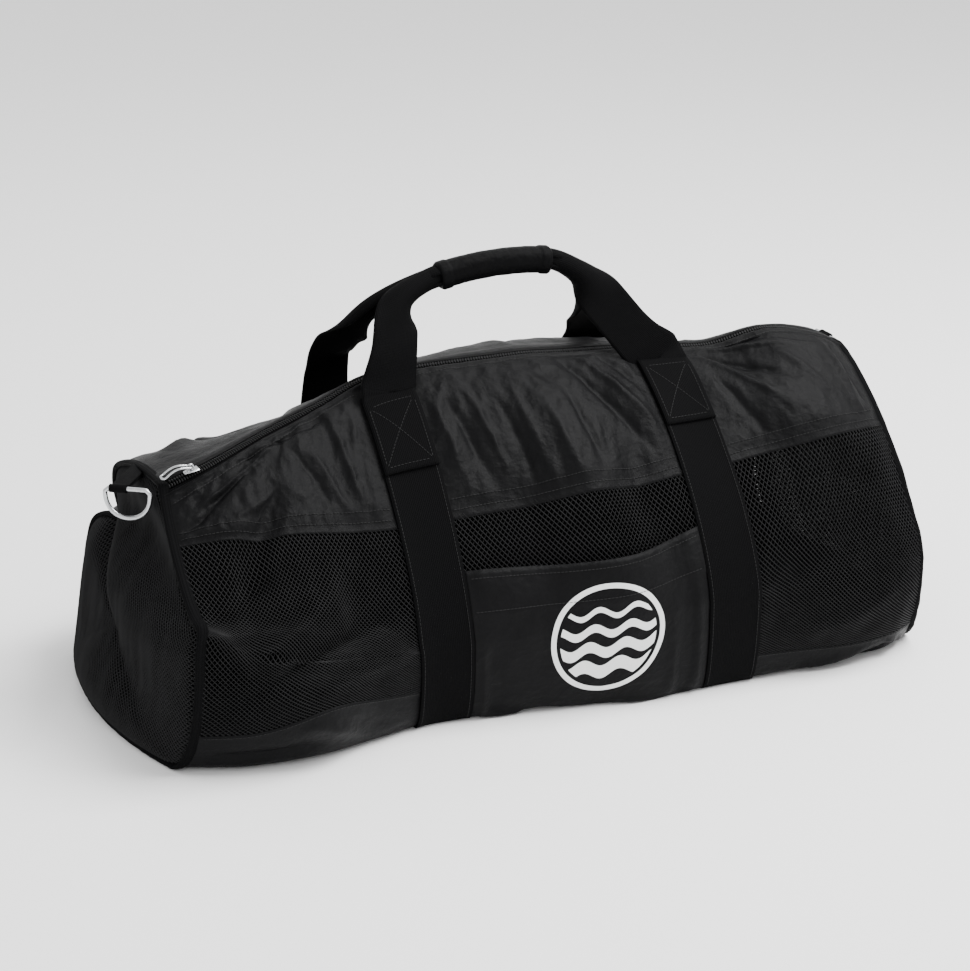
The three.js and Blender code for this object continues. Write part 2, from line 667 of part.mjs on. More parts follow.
// Rings for a shoulder strap, one at each end, with the tab that holds it
const ringPlaces = [
  { name: 'left', x: -345, y: -38, z: 212.6, turn: -0.6435, tabX: -8, tailEnd: 37.4, tailSkew: -1.3333 },
  { name: 'right', x: 371, y: 30, z: 241, turn: Math.PI / 2, tabX: 0, tailEnd: 24.2, tailSkew: 0 },
];
for (const place of ringPlaces) {
  const holder = new THREE.Group();
  holder.position.set(place.x, place.y, place.z);
  holder.rotation.z = place.turn;
  bag.add(holder);
  addPiece(`${place.name}_ring_tab`, tabGeometry(place), 'webbing', holder);
  addPiece(`${place.name}_ring`, ringGeometry(), 'metal', holder);
}

export default bag;
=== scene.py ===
import math
import bpy
import numpy as np
from mathutils import Matrix, Vector


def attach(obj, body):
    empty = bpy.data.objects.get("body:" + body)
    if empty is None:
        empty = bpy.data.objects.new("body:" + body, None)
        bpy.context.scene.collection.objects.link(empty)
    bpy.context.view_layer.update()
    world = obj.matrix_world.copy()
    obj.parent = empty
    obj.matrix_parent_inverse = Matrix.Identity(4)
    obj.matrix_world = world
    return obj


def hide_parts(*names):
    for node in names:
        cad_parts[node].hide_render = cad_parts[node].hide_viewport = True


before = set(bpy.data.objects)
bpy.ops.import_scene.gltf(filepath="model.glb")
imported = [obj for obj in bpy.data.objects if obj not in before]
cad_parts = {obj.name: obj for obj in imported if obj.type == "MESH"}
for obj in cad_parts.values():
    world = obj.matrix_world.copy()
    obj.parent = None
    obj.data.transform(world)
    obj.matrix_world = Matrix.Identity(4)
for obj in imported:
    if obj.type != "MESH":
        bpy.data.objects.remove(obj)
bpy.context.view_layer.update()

print("stage: frame loaded")

# The surface that all the cloth lies on, in millimetres, as in the part's source.
# Line 0 is the zip, 1 the belly, 2 the edge of the base, 3 its middle; the back is negative.
surface = {"baseZ": 2.1, "lowerPower": 2.2, "bowHeight": 110, "bowReach": 150, "leftEnd": -345, "rightEnd": 362,
           "centreX": 3.8, "centreY": -15.1, "backBorder": 24}
strap = {"leftX": -108, "rightX": 156, "width": 50, "thickness": 1.8, "gap": 0.3}
sectionColumns = ["x", "lean", "bow", "top", "zipY", "front", "frontZ", "frontBase", "back", "backZ", "backBase",
                  "frontPower", "backPower", "seam", "pocket", "border"]
sectionRows = [
    [-345, 26, 27, 214, -52, 176, 128, 140, 138, 74, 118, 0.82, 2.6, 175, 112, 34],
    [-300, 20, 20, 226, -50, 190, 116, 162, 156, 90, 125, 0.95, 2.0, 180, 114, 38],
    [-230, 8, 8, 242, -34, 192, 98, 168, 165, 100, 130, 1.12, 1.5, 181, 118, 52],
    [-170, 3, 3, 256, -20, 176, 84, 158, 166, 105, 128, 1.2, 1.4, 174, 124, 42],
    [-110, 0, 0, 272, -10, 162, 70, 147, 168, 110, 125, 1.35, 1.35, 172, 131, 34],
    [25, 0, 0, 277, -18, 182, 80, 166, 168, 115, 125, 1.5, 2.2, 186, 132, 34],
    [70, 0, 0, 274, -17, 189, 82, 177, 168, 115, 125, 1.5, 2.2, 188, 135, 32],
    [155, 0, 0, 267, -14, 190, 84, 176, 168, 115, 125, 1.42, 2.0, 189, 150, 26],
    [215, -1, 3, 263, -20, 195, 84, 176, 165, 112, 123, 1.52, 1.5, 197, 148, 24],
    [270, -3, 8, 275, -30, 198, 84, 174, 160, 110, 120, 1.6, 1.4, 206, 145, 22],
    [330, -10, 14, 266, -36, 193, 86, 164, 152, 105, 115, 1.5, 1.8, 205, 140, 22],
    [362, -17, 20, 254, -40, 180, 86, 138, 142, 100, 105, 1.36, 1.9, 199, 136, 20],
]
foldColumns = ["x", "line", "reachX", "reachLine", "slant", "depth"]
foldRows = [
    [-345, -0.63, 44, 0.13, 0, -40],
    [-345, 0.86, 40, 0.1, 0, 8],
    [-282, 0.55, 60, 0.1, -0.5, -9],
    [-236, 0.3, 70, 0.08, -0.16, 6],
    [-175, 0.78, 45, 0.12, 0.3, -6],
    [-20, 0.62, 26, 0.3, 0.5, -6],
    [38, 0.55, 24, 0.3, 0.6, 5],
    [92, 0.6, 26, 0.28, 0.7, -8],
    [232, 0.35, 60, 0.1, 0.2, 6],
    [268, 0.62, 70, 0.1, 0.12, -6],
    [-255, 1.35, 55, 0.3, 0, 7],
    [300, 1.3, 45, 0.3, 0, 5],
]
sections = {name: np.array([row[i] for row in sectionRows], float) for i, name in enumerate(sectionColumns)}


def columnAt(name, x):
    places, values = sections["x"], sections[name]
    last = len(places) - 1
    low = np.clip(np.searchsorted(places, x, side="right") - 1, 0, last - 1)

    def slope(i):
        before, after = np.maximum(i - 1, 0), np.minimum(i + 1, last)
        return (values[after] - values[before]) / (places[after] - places[before])

    span = places[low + 1] - places[low]
    t = (x - places[low]) / span
    rise = 3 * t**2 - 2 * t**3
    pull = (t - 2 * t**2 + t**3) * slope(low) + (t**3 - t**2) * slope(low + 1)
    return values[low] * (1 - rise) + values[low + 1] * rise + pull * span


def matched(first, second):
    return np.broadcast_arrays(np.asarray(first, float), np.asarray(second, float))


def plainPoint(x, line):
    x, line = matched(x, line)
    wrapped = np.where(line > 3, line - 6, np.where(line < -3, line + 6, line))
    inFront = wrapped >= 0
    side = np.where(inFront, -1, 1)
    step = np.abs(wrapped)

    def pick(front, back):
        return np.where(inFront, columnAt(front, x), columnAt(back, x))

    top, ridge = columnAt("top", x), columnAt("zipY", x) * side
    belly, bellyZ = pick("front", "back"), pick("frontZ", "backZ")
    base, power = pick("frontBase", "backBase"), pick("frontPower", "backPower")
    upper, lower = np.clip(step, 0, 1) * math.pi / 2, np.clip(step - 1, 0, 1) * math.pi / 2
    reach = np.where(step <= 1, ridge + (belly - ridge) * np.sin(upper) ** (2 / power),
                     base + (belly - base) * np.maximum(np.cos(lower), 0) ** (2 / surface["lowerPower"]))
    reach = np.where(step > 2, base * (3 - step), reach)
    height = np.where(step <= 1, bellyZ + (top - bellyZ) * np.maximum(np.cos(upper), 0) ** (2 / power),
                      bellyZ * (1 - np.sin(lower) ** (2 / surface["lowerPower"])))
    height = np.where(step > 2, 0, height)
    fade = np.maximum(1 - height / surface["bowHeight"], 0)
    bow = columnAt("bow", x) * (1 - (reach / surface["bowReach"]) ** 2) * fade
    lean = columnAt("lean", x) * height / sections["top"][0]
    return np.stack([x + lean + np.sign(x) * bow, reach * side, height + surface["baseZ"]], -1)


def unit(vectors):
    return vectors / np.maximum(np.linalg.norm(vectors, axis=-1, keepdims=True), 1e-12)


def normalOf(shape, x, line):
    alongX = shape(x + 0.5, line) - shape(x - 0.5, line)
    alongLine = shape(x, line + 0.004) - shape(x, line - 0.004)
    return unit(np.cross(alongLine, alongX))


def clothPoint(x, line):
    x, line = matched(x, line)
    depth = np.zeros(x.shape)
    for row in foldRows:
        fold = dict(zip(foldColumns, row))
        across = (line - fold["line"] - fold["slant"] * (x - fold["x"]) / 100) / fold["reachLine"]
        along = (x - fold["x"]) / fold["reachX"]
        depth += fold["depth"] * np.exp(-across**2 - along**2)
    return plainPoint(x, line) + normalOf(plainPoint, x, line) * depth[..., None]


def between(low, high, share):
    return low + (high - low) * share


def layerPoint(x, line, offset):
    return clothPoint(x, line) + normalOf(clothPoint, x, line) * np.asarray(offset, float)[..., None]


def lineAtReach(x, distance, inFront):
    span = columnAt("front" if inFront else "back", x) + columnAt("zipY", x) * (1 if inFront else -1)
    power = columnAt("frontPower" if inFront else "backPower", x)
    return np.arcsin((distance / span) ** (power / 2)) / (math.pi / 2)


def upperLineAtHeight(x, height):
    bellyZ = columnAt("frontZ", x)
    ratio = np.maximum((height - bellyZ) / (columnAt("top", x) - bellyZ), 0)
    return np.arccos(ratio ** (columnAt("frontPower", x) / 2)) / (math.pi / 2)


def lowerLineAtHeight(x, height, belly):
    ratio = np.maximum(1 - height / columnAt(belly, x), 0)
    return 1 + np.arcsin(ratio ** (surface["lowerPower"] / 2)) / (math.pi / 2)


def zipLine(x, reach=15):
    return lineAtReach(x, reach, True)


def zipBackLine(x, reach=15):
    return -lineAtReach(x, reach, False)


def seamLine(x):
    return upperLineAtHeight(x, columnAt("seam", x))


def pocketLine(x):
    height = columnAt("pocket", x)
    above, below = upperLineAtHeight(x, height), lowerLineAtHeight(x, height, "frontZ")
    return np.where(height > columnAt("frontZ", x), above, below)


def borderLine(x):
    return lowerLineAtHeight(x, columnAt("border", x), "frontZ")


def backBorderLine(x):
    return -lowerLineAtHeight(x, surface["backBorder"], "backZ")


# Relief that the source leaves to the looks: seeded noise for crinkled cloth.
gradients = np.random.default_rng(11).uniform(-1, 1, (64, 64, 2))


def softNoise(u, v):
    u, v = (value + 900 for value in matched(u, v))
    i, j = np.floor(u).astype(int), np.floor(v).astype(int)
    a, b = u - i, v - j

    def corner(di, dj):
        g = gradients[(i + di) % 64, (j + dj) % 64]
        return g[..., 0] * (a - di) + g[..., 1] * (b - dj)

    s, t = a**3 * (a * (a * 6 - 15) + 10), b**3 * (b * (b * 6 - 15) + 10)
    low = corner(0, 0) * (1 - s) + corner(1, 0) * s
    high = corner(0, 1) * (1 - s) + corner(1, 1) * s
    return low * (1 - t) + high * t


def ridges(u, v):
    return 0.35 - np.abs(softNoise(u + 0.4 * softNoise(u * 0.6, v * 0.6), v))


def peak(value, middle, width):
    return np.exp(-(((value - middle) / width) ** 2))


def smooth(edgeLow, edgeHigh, value):
    t = np.clip((value - edgeLow) / (edgeHigh - edgeLow), 0, 1)
    return t * t * (3 - 2 * t)


def within(value, low, high, fade, fadeHigh=None):
    # 0 outside low and high, rising to 1 over a fade inside each
    return smooth(0, fade, value - low) * smooth(0, fadeHigh or fade, high - value)


def awayFromStraps(x, margin=16):
    near = np.minimum(np.abs(x - strap["leftX"]), np.abs(x - strap["rightX"])) - strap["width"] / 2
    return smooth(-2, margin, near)


def awayFromEnds(x, reach=26):
    return within(x, surface["leftEnd"], surface["rightEnd"], reach)


def calm(x, least):
    # how much of the relief is left near the straps and near the ends
    return awayFromStraps(x) * awayFromEnds(x - 2, 9) * (least + (1 - least) * awayFromEnds(x))


# Creases drawn from one place to another on a panel, how wide, and how deep outwards
creaseColumns = ["x1", "share1", "x2", "share2", "width", "depth"]


def creases(rows, x, share, height):
    relief = np.zeros(np.broadcast(x, share).shape)
    for row in rows:
        c = dict(zip(creaseColumns, row))
        dx, dy = c["x2"] - c["x1"], (c["share2"] - c["share1"]) * height
        px, py = x - c["x1"], (share - c["share1"]) * height
        t = np.clip((px * dx + py * dy) / (dx * dx + dy * dy), 0, 1)
        far = np.hypot(px - dx * t, py - dy * t)
        ends = np.sin(np.clip(t, 0.02, 0.98) * math.pi) ** 0.5
        relief += c["depth"] * ends * np.exp(-(far / c["width"]) ** 1.6)
    return relief


# Making meshes
bag = "bag"


def toScene(points):
    shifted = np.asarray(points, float).reshape(-1, 3) - [surface["centreX"], surface["centreY"], 0]
    return shifted / 1000


def declare(piece, material, body, replaces):
    piece.data.polygons.foreach_set("use_smooth", [True] * len(piece.data.polygons))
    piece.data.materials.append(material)
    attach(piece, body)
    if replaces:
        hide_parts(*replaces)
    return piece


def newPiece(name, points, faces, material, replaces=(), uv=None, body=bag):
    mesh = bpy.data.meshes.new(name)
    mesh.from_pydata(toScene(points).tolist(), [], [tuple(map(int, face)) for face in faces])
    if uv is not None:
        layer = mesh.uv_layers.new(name="cloth")
        loops = np.empty(len(mesh.loops), int)
        mesh.loops.foreach_get("vertex_index", loops)
        layer.data.foreach_set("uv", (np.asarray(uv, float).reshape(-1, 2)[loops] / 1000).ravel())
    piece = bpy.data.objects.new(name, mesh)
    bpy.context.scene.collection.objects.link(piece)
    return declare(piece, material, body, replaces)


def gridFaces(rows, columns, closedRows=False, closedColumns=False):
    i = np.arange(rows if closedRows else rows - 1)[:, None]
    j = np.arange(columns if closedColumns else columns - 1)[None, :]
    a, b = i * columns + j, i * columns + (j + 1) % columns
    c, d = ((i + 1) % rows) * columns + (j + 1) % columns, ((i + 1) % rows) * columns + j
    return np.stack([a, b, c, d], -1).reshape(-1, 4)


def cleared():
    for other in bpy.context.selected_objects:
        other.select_set(False)


def activePiece():
    return bpy.context.view_layer.objects.active


def made(operator, **settings):
    cleared()
    operator(**settings)
    return activePiece()


def edited(change, **settings):
    bpy.ops.object.mode_set(mode="EDIT")
    bpy.ops.mesh.select_all(action="SELECT")
    change(**settings)
    bpy.ops.object.mode_set(mode="OBJECT")


def applyModifier(piece, kind, **settings):
    modifier = piece.modifiers.new(kind.title(), kind)
    for key, value in settings.items():
        setattr(modifier, key, value)
    cleared()
    bpy.context.view_layer.objects.active = piece
    piece.select_set(True)
    bpy.ops.object.modifier_apply(modifier=modifier.name)


def thicken(piece, thickness, offset=-1):
    applyModifier(piece, "SOLIDIFY", thickness=thickness / 1000, offset=offset, use_rim=True, use_even_offset=False)


def ovalRings(centres, turn, power, wide, side, high, up):
    # rings of points about the centres, squarer as the power falls
    across, rise = (np.sign(wave) * np.abs(wave) ** power for wave in (np.cos(turn), np.sin(turn)))
    return centres[:, None] + (across * wide)[..., None] * side + (rise * high)[..., None] * up


def flatMap(across, down):
    return np.stack(np.broadcast_arrays(across, down), -1)


def readAlong(wanted, lengths, values):
    return np.stack([np.interp(wanted, lengths, values[:, axis]) for axis in range(3)], -1)


def arcLengths(points):
    steps = np.linalg.norm(np.diff(points, axis=0), axis=-1)
    return np.concatenate([[0], np.cumsum(steps)])


def clothGrid(name, x, lines, offset, material, thickness, node):
    # x is a column along the bag and lines gives each row's places round the section
    points = layerPoint(x + 0 * lines, lines, offset)
    down = np.cumsum(np.concatenate([np.zeros((len(x), 1)), np.linalg.norm(np.diff(points, axis=1), axis=-1)], 1), 1)
    thicken(newPiece(name, points, gridFaces(*lines.shape), material, [node], flatMap(x, down)), thickness)


def webPiece(name, points, width, thickness, offset, replaces, turned=False):
    # webbing that runs along the rows of points, with its ribs lengthwise
    rows, columns = points.shape[:2]
    uv = flatMap(np.linspace(-1, 1, columns) * width / 2, arcLengths(points[:, columns // 2])[:, None])
    faces = gridFaces(rows, columns)
    piece = newPiece(name, points, faces[:, ::-1] if turned else faces, webbing, replaces, uv)
    thicken(piece, thickness, offset)


# Shader maths as plain expressions
class Wire:
    def __init__(self, finish, socket):
        self.finish, self.socket = finish, socket

    def maths(self, operation, first, second=None):
        inputs = {0: first} if second is None else {0: first, 1: second}
        return self.finish.node("ShaderNodeMath", {"operation": operation}, inputs)

    def __add__(self, other): return self.maths("ADD", self, other)
    def __radd__(self, other): return self.maths("ADD", other, self)
    def __sub__(self, other): return self.maths("SUBTRACT", self, other)
    def __rsub__(self, other): return self.maths("SUBTRACT", other, self)
    def __mul__(self, other): return self.maths("MULTIPLY", self, other)
    def __rmul__(self, other): return self.maths("MULTIPLY", other, self)
    def __truediv__(self, other): return self.maths("DIVIDE", self, other)
    def __rtruediv__(self, other): return self.maths("DIVIDE", other, self)
    def __lt__(self, other): return self.maths("LESS_THAN", self, other)
    def __gt__(self, other): return self.maths("GREATER_THAN", self, other)
    def sine(self): return self.maths("SINE", self)
    def size(self): return self.maths("ABSOLUTE", self)
    def root(self): return self.maths("SQRT", self)
    def most(self, other): return self.maths("MAXIMUM", self, other)


class Finish:
    def __init__(self, name, **sockets):
        self.material = bpy.data.materials.new(name)
        self.material.use_nodes = True
        self.tree = self.material.node_tree
        self.shader = self.tree.nodes["Principled BSDF"]
        for key, value in sockets.items():
            self.feed(key.replace("_", " "), value)

    def put(self, socket, value):
        if isinstance(value, Wire):
            self.tree.links.new(value.socket, socket)
        else:
            socket.default_value = value

    def feed(self, socket, value):
        self.put(self.shader.inputs[socket], value)

    def node(self, kind, settings=None, inputs=None, output=0):
        made = self.tree.nodes.new(kind)
        for key, value in (settings or {}).items():
            setattr(made, key, value)
        for key, value in (inputs or {}).items():
            self.put(made.inputs[key], value)
        return Wire(self, made.outputs[output])

    def place(self, wovenMap=True):
        if wovenMap:
            return self.node("ShaderNodeUVMap", {"uv_map": "cloth"})
        return self.node("ShaderNodeTexCoord", output="Object")

    def split(self, wire):
        return [self.node("ShaderNodeSeparateXYZ", {}, {0: wire}, axis) for axis in (0, 1)]

    def noise(self, wire, scale, detail):
        return self.node("ShaderNodeTexNoise", {}, {"Vector": wire, "Scale": scale, "Detail": detail})

    def shade(self, factor, first, second):
        first, second = (value if isinstance(value, Wire) else (*value, 1) for value in (first, second))
        return self.node("ShaderNodeMix", {"data_type": "RGBA"}, {0: factor, 6: first, 7: second}, 2)

    def bump(self, height, distance, strength):
        made = self.node("ShaderNodeBump", {}, {"Height": height, "Distance": distance, "Strength": strength})
        self.feed("Normal", made)


nylonLook = {"dark": (0.002, 0.002, 0.0022), "light": (0.0055, 0.0055, 0.0059), "roughness": 0.42, "threads": 7000,
             "specular": 0.06}
webLook = {"dark": (0.0014, 0.0014, 0.0015), "light": (0.0036, 0.0036, 0.0039), "ribs": 620, "rows": 1500,
           "specular": 0.03}
netLook = {"dark": (0.006, 0.006, 0.0063), "light": (0.015, 0.015, 0.0157),
           "specular": 0.12, "scale": 60, "detail": 3, "spread": 0.2, "roughness": 0.5}
threadLook = {"dark": (0.004, 0.004, 0.004), "light": (0.012, 0.012, 0.0125),
              "specular": 0.3, "scale": 900, "detail": 2, "spread": 0.2, "roughness": 0.6}
coilLook = {"dark": (0.003, 0.003, 0.0032), "light": (0.01, 0.01, 0.0105),
            "specular": 0.12, "scale": 400, "detail": 2, "spread": 0.15, "roughness": 0.35}
gripClothLook = {"dark": (0.0014, 0.0014, 0.0015), "light": (0.0036, 0.0036, 0.0039), "specular": 0.03}
metalLook = {"dark": (0.36, 0.37, 0.38), "light": (0.62, 0.63, 0.64)}


def nylonFinish(name="nylon", look=nylonLook):
    finish = Finish(name, Specular_IOR_Level=look["specular"])
    place = finish.place()
    across, along = finish.split(place)
    weave = (across * nylonLook["threads"]).sine() * (along * nylonLook["threads"]).sine()
    mottle = finish.noise(place, 38, 4)
    fine = finish.noise(place, 260, 3)
    crinkle = (finish.noise(place, 26, 3) - 0.5).size() * 4 + (finish.noise(place, 75, 2) - 0.5).size() * 1.4
    finish.feed("Base Color", finish.shade(mottle * 0.7 + fine * 0.3, look["dark"], look["light"]))
    finish.feed("Roughness", mottle * 0.22 + (nylonLook["roughness"] - 0.11))
    finish.bump(weave * 0.05 + fine * 0.4 - crinkle, 0.0014, 0.7)
    return finish


def webFinish():
    look = webLook
    finish = Finish("webbing", Specular_IOR_Level=look["specular"])
    place = finish.place()
    across, along = finish.split(place)
    ribs = (across * look["ribs"] * math.pi).sine().size()
    picks = (along * look["rows"] * math.pi / 2 + ribs * 1.5).sine().size()
    mottle = finish.noise(place, 90, 3)
    finish.feed("Base Color", finish.shade(ribs * 0.35 + picks * 0.25 + mottle * 0.5, look["dark"], look["light"]))
    finish.feed("Roughness", mottle * 0.2 + 0.62)
    finish.bump(ribs * 0.8 + picks * 0.5, 0.0006, 0.7)
    return finish.material


def mottledFinish(name, look):
    finish = Finish(name, Specular_IOR_Level=look["specular"])
    mottle = finish.noise(finish.place(False), look["scale"], look["detail"])
    finish.feed("Base Color", finish.shade(mottle, look["dark"], look["light"]))
    finish.feed("Roughness", mottle * look["spread"] + look["roughness"])
    return finish.material


def metalFinish():
    finish = Finish("plated_metal", Metallic=1.0)
    place = finish.place(False)
    wear = finish.noise(place, 220, 5)
    finish.feed("Base Color", finish.shade(wear, metalLook["dark"], metalLook["light"]))
    finish.feed("Roughness", wear * 0.25 + 0.12)
    finish.bump(wear, 0.0002, 0.3)
    return finish.material


nylon = nylonFinish().material
webbing = webFinish()
net = mottledFinish("net", netLook)
metal = metalFinish()
thread = mottledFinish("thread", threadLook)
coil = mottledFinish("zip_coil", coilLook)

# Panels of nylon
panelStep = 2.4
clothLook = {"thickness": 0.9, "fromZip": 4.8, "roll": 1.5, "pastSeam": 0.012, "upperDrop": 150, "backDrop": 290,
             "baseDrop": 370}


def alongBag(step):
    return np.arange(surface["leftEnd"], surface["rightEnd"] + 0.1, step)[:, None]


def nylonPanel(name, x, lines, relief, node, material=nylon):
    clothGrid(name, x, lines, relief, material, clothLook["thickness"], node)


upperCreases = [
    [-330, 0.1, -215, 0.05, 5, 5],
    [-316, 0.62, -250, 0.28, 5, -8],
    [-306, 0.5, -226, 0.2, 4, 6],
    [-336, 0.86, -296, 0.56, 5, -6],
    [-282, 0.8, -236, 0.62, 4, 4],
    [-262, 0.18, -170, 0.2, 4, -4],
    [-215, 0.3, -190, 0.85, 4, -4],
    [-196, 0.4, -176, 0.9, 4, 4],
    [-170, 0.15, -160, 0.85, 4, 5],
    [-74, 0.3, -62, 0.9, 4, 4],
    [-60, 0.35, -42, 0.85, 5, -6],
    [-44, 0.2, -24, 0.9, 4, 5],
    [-16, 0.4, -4, 0.95, 4, -5],
    [-2, 0.3, 10, 0.9, 4, 4],
    [14, 0.1, 44, 0.4, 9, -4],
    [22, 0.45, 34, 0.95, 4, 5],
    [46, 0.4, 60, 0.95, 5, -6],
    [56, 0.15, 108, 0.8, 5, -8],
    [72, 0.1, 122, 0.72, 4, 7],
    [94, 0.08, 128, 0.5, 4, -5],
    [186, 0.08, 286, 0.3, 4, 6],
    [188, 0.14, 262, 0.56, 4, -6],
    [190, 0.2, 250, 0.74, 4, 6],
    [192, 0.36, 224, 0.92, 5, -5],
    [216, 0.06, 320, 0.22, 5, -4],
    [262, 0.3, 300, 0.72, 5, 4],
    [322, 0.15, 328, 0.85, 5, 6],
    [334, 0.2, 342, 0.8, 4, -5],
]


def upperRelief(x, share):
    height = clothLook["upperDrop"]
    along, down = x / 34, share * height / 90
    crumple = 8 * ridges(along + down * 0.8, down) + 4.2 * ridges(x / 15 + 7, share * height / 40 + x / 60)
    crumple += 1.9 * ridges(x / 7 + 2, share * height / 18)
    edges = within(share, 0, 1, 0.16, 0.14)
    pucker = 0.7 * softNoise(x / 7, share * 3) * (1 - edges)
    return calm(x, 0.35) * (
        edges * ((0.85 - 0.4 * smooth(165, 215, x)) * crumple + 0.7 * creases(upperCreases, x, share, height)) + pucker)


def upperShare(x, line):
    start = zipLine(x, clothLook["fromZip"])
    return (line - start) / (seamLine(x) + clothLook["pastSeam"] - start)


shares = np.linspace(0, 1, int(175 / panelStep))
upperX = alongBag(panelStep)
upperLines = between(zipLine(upperX, clothLook["fromZip"]), seamLine(upperX) + clothLook["pastSeam"], shares)
lap = 1.1 * (1 - smooth(0, 0.1, shares)) + 0.5 * smooth(0.95, 1, shares)
lap += clothLook["roll"] * peak(shares, 0.035, 0.025)
nylonPanel("front_upper_cloth", upperX, upperLines, upperRelief(upperX, shares) + lap, "front_upper_panel")

backCreases = [
    [-318, 0.86, -240, 0.72, 8, 6],
    [-300, 0.7, -225, 0.9, 7, -5],
    [-200, 0.9, -150, 0.55, 8, -5],
    [-60, 0.9, -20, 0.5, 8, 4],
    [40, 0.92, 60, 0.4, 8, -5],
    [210, 0.92, 260, 0.6, 8, 5],
    [250, 0.85, 330, 0.7, 7, -5],
]


def backRelief(x, share):
    height = clothLook["backDrop"]
    crumple = 4 * ridges(x / 48 + 3, share * height / 110) + 1.3 * ridges(x / 17, share * height / 45 + 5)
    crumple += 0.4 * softNoise(x / 6, share * height / 9)
    edges = within(share, 0, 1, 0.08)
    return calm(x, 0.35) * edges * (crumple + creases(backCreases, x, share, height))


backX = alongBag(panelStep * 1.4)
shares = np.linspace(0, 1, int(300 / panelStep / 1.4))
backLines = between(backBorderLine(backX), zipBackLine(backX, clothLook["fromZip"]), shares)
lap = 1.1 * smooth(0.94, 1, shares) + clothLook["roll"] * peak(shares, 0.98, 0.013)
nylonPanel("back_cloth", backX, backLines, backRelief(backX, shares) + lap, "back_panel")

baseCreases = [
    [-330, 0.06, -230, 0.1, 8, -5],
    [-255, 0.02, -200, 0.08, 7, 4],
    [-48, 0.08, -6, 0.22, 14, -14],
    [62, 0.16, 90, 0.22, 9, -4],
    [232, 0.1, 300, 0.03, 8, 5],
    [285, 0.14, 345, 0.04, 8, -6],
    [320, 0.02, 352, 0.08, 6, 5],
]


def baseRelief(x, share):
    height = clothLook["baseDrop"]
    crumple = 2.6 * ridges(x / 40 + 9, share * height / 36) + 1.1 * ridges(x / 15, share * height / 17)
    fromFront, fromBack = smooth(0, 0.03, share), smooth(0, 0.03, 1 - share)
    lifted = fromFront * (1 - smooth(0.1, 0.2, share)) + 0.4 * smooth(0.9, 0.96, share) * fromBack
    return calm(x, 0.4) * (lifted * crumple + creases(baseCreases, x, share, height) * fromFront)


baseX = alongBag(panelStep * 1.3)
shares = np.concatenate([np.linspace(0, 0.3, 44), np.linspace(0.3, 0.85, 30)[1:], np.linspace(0.85, 1, 16)[1:]])
baseLines = between(borderLine(baseX) - 0.012, backBorderLine(baseX) + 6 + 0.01, shares)
relief = baseRelief(baseX, shares) + 0.5 * (1 - smooth(0, 0.02, shares))
relief = np.minimum(relief, np.where(np.abs(baseLines - 3) < 0.95, 0.0, 99))
nylonPanel("base_cloth", baseX, baseLines, relief, "bottom_panel")
print("stage: nylon panels")


# Net: two sets of strands that cross on the slant, so the holes are diamonds
netSize = {"front": {"pitch": 3.0, "over": 0.6, "under": 0.48}, "left": {"pitch": 3.0, "over": 0.85, "under": 0.75},
           "right": {"pitch": 3.0, "over": 1.08, "under": 1.02}}


def strandTubes(runs):
    # each run of points, normals and radius becomes a three-sided tube
    points, faces, start = [], [], 0
    for path, normal, radius in runs:
        across = unit(np.cross(np.gradient(path, axis=0), normal)) * radius
        ring = [path + across - normal * radius * 0.5, path - across - normal * radius * 0.5, path + normal * radius]
        points.append(np.stack(ring, 1).reshape(-1, 3))
        last = start + 3 * len(path) - 3
        faces += (gridFaces(len(path), 3, closedColumns=True)[:, ::-1] + start).tolist()
        faces += [[start, start + 1, start + 2], [last + 2, last + 1, last]]
        start = last + 3
    return np.concatenate(points), faces


def tabled(shape, across, down, facing=1, step=2.5):
    # the shape worked out on a coarse pattern, then read between its places
    u = np.arange(across[0] - step, across[1] + 2 * step, step)
    v = np.arange(down[0] - step, down[1] + 2 * step, step)
    points = shape(u[:, None] + 0 * v, v + 0 * u[:, None])
    normals = unit(np.cross(np.gradient(points, axis=1), np.gradient(points, axis=0))) * facing
    both = np.concatenate([points, normals], -1)

    def read(x, y):
        i = np.clip((x - u[0]) / step, 0, len(u) - 1.001)
        j = np.clip((y - v[0]) / step, 0, len(v) - 1.001)
        a, b = i.astype(int), j.astype(int)
        s, t = (i - a)[:, None], (j - b)[:, None]
        near = both[a, b] * (1 - s) + both[a + 1, b] * s
        found = near * (1 - t) + (both[a, b + 1] * (1 - s) + both[a + 1, b + 1] * s) * t
        return found[:, :3], unit(found[:, 3:])

    return read


def slantedRuns(shape, size, across, down, isInside):
    # strands at 45 degrees over a flat pattern, cut where isInside says the panel ends
    step, runs = size["pitch"] / math.sqrt(2), []
    for slope, radius, lift in ((1, size["over"], 0.3), (-1, size["under"], -0.3)):
        for start in np.arange(across[0] - (down[1] - down[0]), across[1] + (down[1] - down[0]), step * 2):
            v = np.arange(down[0], down[1] + step, step)
            u = start + slope * (v - down[0]) + (down[1] - down[0] if slope < 0 else 0)
            inside = isInside(u, v)
            edges = np.flatnonzero(np.diff(np.concatenate([[0], inside.astype(int), [0]])))
            for begin, end in zip(edges[::2], edges[1::2]):
                if end - begin > 2:
                    path, normal = shape(u[begin:end], v[begin:end])
                    runs.append((path + normal * lift, normal, radius))
    return runs


def netPiece(name, runs, replaces=()):
    points, faces = strandTubes(runs)
    newPiece(name, points, faces, net, replaces)


netDrop = 182
netCreases = [
    [-322, 0.86, -146, 0.3, 13, -8],
    [-300, 0.6, -190, 0.16, 15, 6],
    [-250, 0.92, -150, 0.62, 13, 5],
    [-300, 0.2, -235, 0.06, 9, -5],
    [190, 0.5, 300, 0.3, 14, -5],
    [210, 0.85, 330, 0.6, 16, 5],
]


